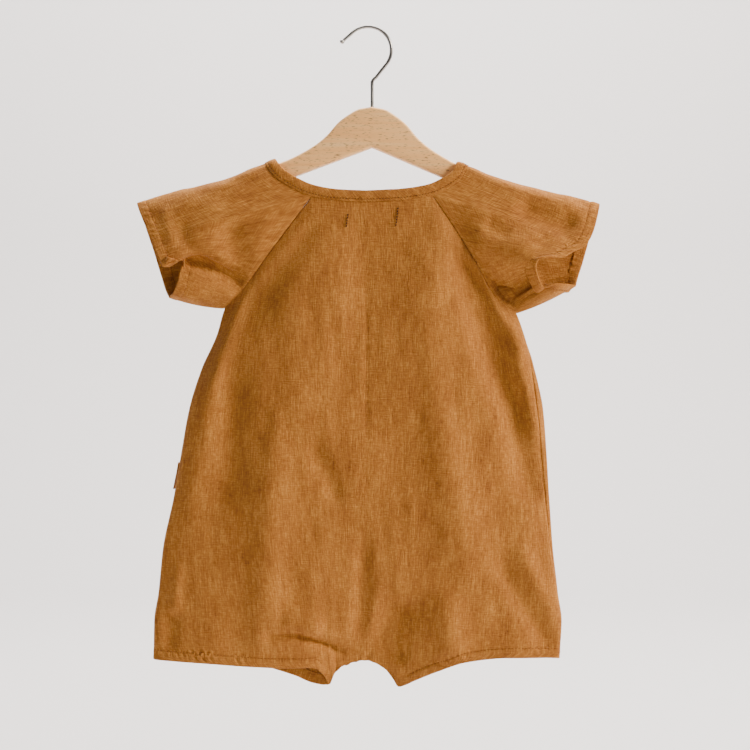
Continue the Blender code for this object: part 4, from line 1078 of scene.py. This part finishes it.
last_row = len(NECK_LEFT) - 1
lap_rows = OVERLAP / abs(NECK_LEFT[-2].x - CENTRE_X)
ways = np.linspace(-last_row - lap_rows, last_row + lap_rows, BAND_COLUMNS)
seam, lean = neck_round(ways)
seam[:, 1] += lapped(seam[:, 0]) * (ways < -last_row / 2) * BAND_LAP
outward = unit(np.cross(np.gradient(seam, axis=0), lean))
up = np.array([-0.12, -0.03, 0.06, 0.13, 0.2, 0.3, 0.42, 0.54, 0.66, 0.78, 0.87])
over = np.linspace(0, pi, 9)
round_top = BAND_WIDTH - BAND_HALF
over_top = round_top + BAND_HALF * np.sin(over)
profile_s = np.concatenate([up * round_top / 0.9, over_top, up[::-1] * round_top / 0.9])
profile_n = np.concatenate([0 * up + BAND_HALF, BAND_HALF * np.cos(over), 0 * up - BAND_HALF])
along_band = along_edge(seam)
ply_side = np.sign(profile_n)[:, None]
puff = BAND_PUFF * np.sin(pi * np.clip(profile_s / BAND_WIDTH, 0, 1))[:, None] * ply_side
band_groove = -BAND_GROOVE * bump_at(profile_s[:, None], BAND_STITCH, 0.0006) * ply_side
uneven = BAND_UNEVEN * rumples(along_band[None, :], profile_s[:, None], 0.007, 0.004, 51) * ply_side
band_out = profile_n[:, None] + puff + band_groove + uneven
is_back = (np.abs(ways) < 3)[None, :] * (profile_n > 0)[:, None]
join_left = bump_at(seam[None, :, 0], -0.0165 + 0.75 * (BAND_WIDTH - profile_s)[:, None], 0.0006)
join_right = bump_at(seam[None, :, 0], -0.0025 - 0.85 * (BAND_WIDTH - profile_s)[:, None], 0.0006)
band_out -= JOIN_GROOVE * is_back * np.maximum(join_left, join_right)
band_grid = seam[None] + profile_s[:, None, None] * lean[None] + band_out[..., None] * outward[None]
bias = np.stack([along_band[None, :] + profile_s[:, None], along_band[None, :] - profile_s[:, None]], -1)
bias = bias * 0.7071 + 4  # the strip's threads run at 45 degrees to it
binding = cloth("neck_binding_cloth", band_grid, bias, linen, thickness=BAND_PLY)
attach(binding, "root")
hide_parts("neck_binding")
STITCH_ROW = 3  # the row of the outer ply's profile that the stitches lie on
binding_run = (band_grid[STITCH_ROW, 2:-2], outward[2:-2])
# These stitches are dark brown so that their line also gives the shade under the binding's lower edge: partly
# real stitching, partly painted shade.
stitches("binding_stitching_and_painted_shade", [binding_run], brown_thread_and_painted_shade, pitch=0.0026, length=0.0018, width=0.00045)

# ---- side tab --------------------------------------------------------------------------------
# A narrow folded tab of the linen caught in the left side seam. It hangs down and stands a
# little out of the seam, with its free end square.
TAB_LENGTH = 0.0225
TAB_WIDTH = 0.008
TAB_TOP = -0.3690
TAB_THICKNESS = 0.0011
TAB_SEAM_X = -0.1606  # where it comes out of the side seam
TAB_STAND = 0.0044  # how far its free end stands out from there

tab_t = np.linspace(0, 1, 24)[:, None]
tab_w = np.linspace(-0.3, 0.7, 12)[None, :] * TAB_WIDTH
tab_x = TAB_SEAM_X - TAB_STAND * tab_t**1.1 - 0.0004 * np.sin(pi * (tab_w / TAB_WIDTH + 0.3))
tab_z = TAB_TOP - TAB_LENGTH * tab_t + 0 * tab_w
tab_grid = np.stack([tab_x, tab_w + 0 * tab_t, tab_z], -1)
tab_threads = np.stack([tab_w + 5 + 0 * tab_t, -tab_z], -1)
tab = cloth("side_tab_cloth", tab_grid, tab_threads, linen, thickness=TAB_THICKNESS)
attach(tab, "root")
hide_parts("side_tab")

# ---- buttons ---------------------------------------------------------------------------------
# Six turned four-hole buttons of brown horn, sewn through the stand with brown thread. Each has a
# raised rim and a shallow dish.
BUTTON_RADIUS = 0.0062
BUTTON_THICKNESS = 0.0024
HOLE_OFFSET = 0.00125
HOLE_RADIUS = 0.00062
HOLE_DEPTH = 0.0013
FACE_RINGS = 20  # rings of points on the dished face, inside the rim
FACE_HEIGHT = 0.16  # its height in shares of the thickness
THREAD_REACH = 1.1  # a stitch's half length in shares of the holes' distance from the middle
SLOPE_SPAN = 0.005  # half the height over which the cloth's slope is taken
X_WAY = np.array([1.0, 0, 0])


def horn_finish():
    """Polished horn: satin gloss, streaked brown with paler clouds."""
    finish, shader = new_finish("polished horn", {"Roughness": 0.32})
    spot = add(finish, "ShaderNodeTexCoord").outputs["Object"]
    drawn = add(finish, "ShaderNodeMapping", {"Vector": spot, "Scale": (220.0, 220.0, 60.0)}).outputs["Vector"]
    cloud = add(finish, "ShaderNodeTexNoise", {"Vector": drawn, "Scale": 1.0, "Detail": 4.0}).outputs["Fac"]
    colour = blend_tones(finish, cloud, ((0.3, "#3B2113"), (0.55, "#6B4022"), (0.8, "#9A6A3C")))
    finish.node_tree.links.new(colour, shader.inputs["Base Color"])
    return finish


horn = horn_finish()


def joined(name, points, faces, finish):
    """A mesh with its doubled points merged and its faces turned outwards."""
    mesh = bpy.data.meshes.new(name)
    mesh.from_pydata(points.reshape(-1, 3).tolist(), [], faces)
    work = bmesh.new()
    work.from_mesh(mesh)
    bmesh.ops.remove_doubles(work, verts=work.verts, dist=0.000002)
    bmesh.ops.recalc_face_normals(work, faces=work.faces)
    work.to_mesh(mesh)
    work.free()
    made = placed(name, mesh, finish)
    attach(made, "root")
    return made


def ring_faces(rows, columns):
    """Quads between rows of points that each close on themselves."""
    index = np.arange(rows * columns).reshape(rows, columns)
    after = np.roll(index, -1, axis=1)
    return np.stack([index[:-1], after[:-1], after[1:], index[1:]], -1).reshape(-1, 4).tolist()


# The button's outline over the rim to the middle of its back, in shares of its radius and thickness.
RIM = tabled(
    "radius height",
    (0.78, 0.22),
    (0.84, 0.36),
    (0.90, 0.46),
    (0.95, 0.49),
    (0.985, 0.40),
    (1.0, 0.20),
    (1.0, -0.20),
    (0.97, -0.40),
    (0.90, -0.49),
    (0.5, -0.5),
    (0.0, -0.5),
)
radius_at = np.concatenate([np.linspace(0, 0.72, FACE_RINGS), RIM.radius])
height_at = np.concatenate([np.full(FACE_RINGS, FACE_HEIGHT), RIM.height])
angle = np.linspace(0, 2 * pi, 64, endpoint=False)[None, :]
face_x = radius_at[:, None] * BUTTON_RADIUS * np.cos(angle)
face_y = radius_at[:, None] * BUTTON_RADIUS * np.sin(angle)
face_h = height_at[:, None] * BUTTON_THICKNESS + 0 * angle
is_face = (np.arange(len(radius_at)) < FACE_RINGS)[:, None]
hole = np.hypot(np.abs(face_x) - HOLE_OFFSET, np.abs(face_y) - HOLE_OFFSET)
face_h -= is_face * HOLE_DEPTH * (1 - smooth_step((hole - HOLE_RADIUS * 0.7) / (HOLE_RADIUS * 0.6)))
button_runs = []
for number in range(6):
    node = f"button_{number + 1}"
    low, high = (np.array(corner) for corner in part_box(node))
    middle = (low + high) / 2
    # it leans as the left front does there
    stand_y, stand_z = front_rows["front_left"][::-1, 8, 1:].T
    above, below = np.interp((middle[2] + SLOPE_SPAN, middle[2] - SLOPE_SPAN), stand_z, stand_y)
    lean = np.arctan2(above - below, 2 * SLOPE_SPAN)
    out_way = np.array([0, cos(lean), -sin(lean)])
    up_way = np.array([0, sin(lean), cos(lean)])
    points = middle + face_x[..., None] * X_WAY + face_y[..., None] * up_way
    points = points + face_h[..., None] * out_way
    button = joined(node + "_horn", points, ring_faces(*face_x.shape), horn)
    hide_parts(node)
    face = middle + out_way * (FACE_HEIGHT * BUTTON_THICKNESS - PLY / 2)
    for sign in (1, -1):
        ends = [face + HOLE_OFFSET * THREAD_REACH * (k * X_WAY + k * sign * up_way) for k in (-1, 1)]
        button_runs.append((np.array(ends), np.tile(out_way, (2, 1))))
sewn = 2 * sqrt(2) * HOLE_OFFSET * THREAD_REACH
stitches("button_thread", button_runs, brown_thread_and_painted_shade, pitch=sewn * 0.999, length=sewn * 0.998, width=0.0008)

# ---- hanger ----------------------------------------------------------------------------------
# A child's flat hanger sawn from beech board, its edges rounded over and sanded, oiled and not
# lacquered. The wire's stem goes into a hole drilled in its top.
WIRE_RADIUS = 0.0014
HANGER_X = 0.0035
HANGER_TILT = 0.0244
HANGER_THICKNESS = 0.012
HANGER_ROUNDING = 0.0022
STEM_DEPTH = 0.024
DRILL_CLEAR = 0.0003  # from the wire to the hole's wall
DRILL_PAST = 0.0004  # from the stem's end to the hole's

# Upper edge of one arm of the hanger: distance from its centre line, and height.
WOOD_TOP = tabled(
    "out top",
    (0.0000, -0.0674),
    (0.0105, -0.0692),
    (0.0205, -0.0748),
    (0.0293, -0.0819),
    (0.0380, -0.0921),
    (0.0480, -0.1007),
    (0.0595, -0.1079),
    (0.0690, -0.1129),
    (0.0777, -0.1165),
    (0.1000, -0.1250),
    (0.1200, -0.1328),
)
WOOD_NOSE = ((0.1252, -0.1362), (0.1275, -0.1415), (0.1262, -0.1475), (0.1215, -0.1504))
WOOD_INNER_TOP = -0.1015  # where the two arms' lower edges meet


def beech_finish():
    """Oiled beech: satin, pale warm tan, with fine straight grain and short darker flecks."""
    finish, shader = new_finish("oiled beech", {"Roughness": 0.48, "Specular IOR Level": 0.4})
    spot = add(finish, "ShaderNodeTexCoord").outputs["Object"]
    grain_way = (0, 0.12, 0)
    tone = 0.5
    for scale, amount in (((22.0, 60.0, 520.0), 0.40), ((9.0, 20.0, 110.0), 0.55)):
        place = {"Vector": spot, "Scale": scale, "Rotation": grain_way}
        tone = plus(finish, tone, amount, streaks(finish, place, {"Detail": 3.0}))
    wood = blend_tones(finish, tone, ((0.25, "#F0A95E"), (0.5, "#FFC27A"), (0.8, "#FFD99C")))
    place = {"Vector": spot, "Scale": (260.0, 300.0, 1300.0), "Rotation": grain_way}
    fleck = streaks(finish, place, {"Detail": 1.0})
    limits = {"Value": fleck, "From Min": 0.10, "From Max": 0.20, "To Max": 0.85}
    mark = add(finish, "ShaderNodeMapRange", limits).outputs[0]
    colour = add(finish, "ShaderNodeMix", {0: mark, 6: wood, 7: linear("#A8754B")}, data_type="RGBA").outputs[2]
    finish.node_tree.links.new(colour, shader.inputs["Base Color"])
    return finish


beech = beech_finish()
stretches = [np.linspace(a, b, 7)[:-1] for a, b in zip(WOOD_TOP.out, WOOD_TOP.out[1:])]
out_to = np.concatenate([*stretches, WOOD_TOP.out[-1:]])
arm_top = through(WOOD_TOP.out, WOOD_TOP.top, out_to)
nose = np.array([(out_to[-1], arm_top[-1]), *WOOD_NOSE])
nose_length = along_edge(nose)
nose_at = np.linspace(0, nose_length[-1], 22)[1:]
nose_line = np.stack([through(nose_length, nose[:, c], nose_at) for c in (0, 1)], -1)
to_apex = np.linspace(0, 1, 40)[1:-1, None]
under = nose_line[-1] * (1 - to_apex) + np.array([0.0, WOOD_INNER_TOP]) * to_apex
half = np.concatenate([np.stack([out_to, arm_top], -1), nose_line, under])
outline = np.concatenate([half, [[0.0, WOOD_INNER_TOP]], half[:0:-1] * np.array([-1.0, 1.0])])
edge_way = unit(np.roll(outline, -1, 0) - np.roll(outline, 1, 0))
inside = np.stack([edge_way[:, 1], -edge_way[:, 0]], -1)
turn_over = np.linspace(0, pi / 2, 7)
flat_y = HANGER_THICKNESS / 2 - HANGER_ROUNDING
ring_in = HANGER_ROUNDING * np.concatenate([1 - np.sin(turn_over), 1 - np.cos(turn_over)])
edge_y = HANGER_ROUNDING * np.stack([-np.cos(turn_over), np.sin(turn_over)])
ring_y = (edge_y + np.array([[-flat_y], [flat_y]])).reshape(-1, 1)
rings_x, rings_z = np.moveaxis(outline[None] + ring_in[:, None, None] * inside[None], -1, 0)
wood_points = np.stack([HANGER_X + rings_x, ring_y + 0 * rings_x, rings_z - HANGER_TILT * rings_x], -1)
wood_corners = np.arange(rings_x.size).reshape(rings_x.shape)
wood_faces = ring_faces(*rings_x.shape) + [wood_corners[0].tolist(), wood_corners[-1].tolist()]
hanger = joined("hanger", wood_points, wood_faces, beech)
drill_size = {"radius": WIRE_RADIUS + DRILL_CLEAR, "depth": 2 * (STEM_DEPTH + DRILL_PAST)}
bpy.ops.mesh.primitive_cylinder_add(vertices=48, location=(HANGER_X, 0, WOOD_TOP[0].top), **drill_size)
drill = bpy.context.object
bore = hanger.modifiers.new("Stem bore", "BOOLEAN")
bore.operation = "DIFFERENCE"
bore.object = drill
shaped = bpy.data.meshes.new_from_object(hanger.evaluated_get(bpy.context.evaluated_depsgraph_get()))
hanger.modifiers.clear()
hanger.data = shaped
bpy.data.objects.remove(drill)
shaped.set_sharp_from_angle(angle=radians(40))
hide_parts("hanger_wood")

# ---- hook ------------------------------------------------------------------------------------
# Hard steel wire bent to a hook, bright zinc plated, with a small bead formed at its tip. It is
# pressed into the hanger's hole.
HOOK_RADIUS = 0.0198
HOOK_MIDDLE = np.array([0.0, WIRE_RADIUS - HOOK_RADIUS])
TIP_LENGTH = 0.0138
FOOT_LENGTH = 0.0142  # the straight run below the bend
STEM_TOP = -0.0458
BEAD = 1.5  # its radius in shares of the wire's
WIRE_SIDES = 24


def steel_finish():
    """Plated steel wire: bright metal, a little dulled, with faint drawing marks."""
    finish, shader = new_finish("plated steel wire", {"Base Color": linear("#9C9894"), "Metallic": 1.0})
    spot = add(finish, "ShaderNodeTexCoord").outputs["Object"]
    noise = add(finish, "ShaderNodeTexNoise", {"Vector": spot, "Scale": 400.0, "Detail": 3.0}).outputs["Fac"]
    rough = add(finish, "ShaderNodeMapRange", {"Value": noise, "To Min": 0.22, "To Max": 0.36}).outputs[0]
    finish.node_tree.links.new(rough, shader.inputs["Roughness"])
    return finish


start, end = radians(131), radians(-38.5)
bend_angle = np.linspace(start, end, 120)[:, None]
bend = HOOK_MIDDLE + HOOK_RADIUS * np.concatenate([np.cos(bend_angle), np.sin(bend_angle)], axis=1)
lead = np.array([-sin(start), cos(start)])
tip_share = np.linspace(1, 0, 30)[:-1, None]
tip_line = bend[0] + lead * TIP_LENGTH * tip_share
leave = np.array([sin(end), -cos(end)])
stem_top = np.array([HANGER_X, STEM_TOP])
foot_of_bend = bend[-1] + leave * FOOT_LENGTH
control = (foot_of_bend + stem_top) / 2 + np.array([-0.0008, 0.0004])
ease_in = np.linspace(0, 1, 14)[1:, None]
turn_down = (1 - ease_in) ** 2 * foot_of_bend + 2 * ease_in * (1 - ease_in) * control + ease_in**2 * stem_top
straight_run = bend[-1] + leave * FOOT_LENGTH * np.linspace(0, 1, 8)[1:, None]
foot = np.array([HANGER_X, WOOD_TOP[0].top - STEM_DEPTH])
stem = stem_top + (foot - stem_top) * np.linspace(0, 1, 14)[1:, None]
wire_line = np.concatenate([tip_line, bend, straight_run, turn_down, stem])
wire_radius = np.full(len(wire_line), WIRE_RADIUS)
bead = np.clip(1 - (tip_share[:, 0] - 0.87) ** 2 / 0.13**2, 0.0, 1.0) ** 0.5
wire_radius[: len(bead)] = np.maximum(WIRE_RADIUS * (tip_share[:, 0] < 0.88), WIRE_RADIUS * BEAD * bead)
way_on = unit(np.gradient(wire_line, axis=0))
beside = np.stack([way_on[:, 1], 0 * way_on[:, 0], -way_on[:, 0]], -1)
around = np.linspace(0, 2 * pi, WIRE_SIDES, endpoint=False)[None, :, None]
line_points = np.stack([wire_line[:, 0], 0 * wire_line[:, 0], wire_line[:, 1]], -1)[:, None]
about = np.cos(around) * beside[:, None] + np.sin(around) * np.array([0.0, 1.0, 0.0])
wire_points = line_points + wire_radius[:, None, None] * about
wire_corners = np.arange(len(wire_line) * WIRE_SIDES).reshape(-1, WIRE_SIDES)
wire_faces = ring_faces(*wire_corners.shape) + [wire_corners[-1].tolist()]
hook = joined("hook", wire_points, wire_faces, steel_finish())
hook.data.set_sharp_from_angle(angle=radians(50))
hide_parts("hanger_hook")

# ---- room, light and camera ------------------------------------------------------------------
# A pale matt floor that curves up into a pale backdrop, a large soft window light from the
# camera's right and a little above, and a camera square to the back.
FLOOR_Z = -0.80
BACKDROP_Y = 3.4
CORNER = 0.9  # radius of the bend between them
CAMERA_PLACE = (0.00595, -1.505, -0.29465)

bend_up = np.linspace(0, pi / 2, 16)
sweep_y = np.concatenate([[-7.0], BACKDROP_Y - CORNER + CORNER * np.sin(bend_up), [BACKDROP_Y]])
sweep_z = np.concatenate([[FLOOR_Z], FLOOR_Z + CORNER - CORNER * np.cos(bend_up), [3.6]])
sweep_x = np.array([-6.0, 6.0])
sweep = np.stack(np.broadcast_arrays(sweep_x[None, :], sweep_y[:, None], sweep_z[:, None]), -1)
corners = np.arange(sweep_y.size * 2).reshape(-1, 2)
sweep_faces = np.stack([corners[:-1, 0], corners[:-1, 1], corners[1:, 1], corners[1:, 0]], -1).tolist()
room_mesh = bpy.data.meshes.new("room")
room_mesh.from_pydata(sweep.reshape(-1, 3).tolist(), [], sweep_faces)
paint = new_finish("matt wall paint", {"Base Color": linear("#DFDBDA"), "Roughness": 0.95})[0]
placed("room", room_mesh, paint)

world = bpy.data.worlds.new("daylight")
bpy.context.scene.world = world
world.use_nodes = True
world.node_tree.nodes["Background"].inputs["Color"].default_value = linear("#F4F1EF")
world.node_tree.nodes["Background"].inputs["Strength"].default_value = 0.11

Lamp = namedtuple("Lamp", "name place aim size watts shade")
LAMPS = (
    Lamp("window", (2.75, -0.85, 1.15), (0.0, 0.0, -0.32), 1.0, 185.0, "#FFF6E8"),
    Lamp("bounce", (-2.4, -2.2, 0.2), (0.0, 0.0, -0.35), 2.0, 7.0, "#F4F6FF"),
    Lamp("backdrop wash", (0.0, 0.9, 2.4), (0.0, 3.3, -0.3), 2.5, 365.0, "#FFFDFB"),
)
for lamp in LAMPS:
    light = bpy.data.lights.new(lamp.name, "AREA")
    light.size = lamp.size
    light.energy = lamp.watts
    light.color = linear(lamp.shade)[:3]
    lit = bpy.data.objects.new(lamp.name, light)
    lit.location = lamp.place
    lit.rotation_euler = (Vector(lamp.aim) - Vector(lamp.place)).to_track_quat("-Z", "Y").to_euler()
    bpy.context.scene.collection.objects.link(lit)

lens = bpy.data.cameras.new("camera")
lens.lens = 85
lens.sensor_width = 36
camera = bpy.data.objects.new("camera", lens)
camera.location = CAMERA_PLACE
camera.rotation_euler = (radians(90), 0, 0)
bpy.context.scene.collection.objects.link(camera)
bpy.context.scene.camera = camera
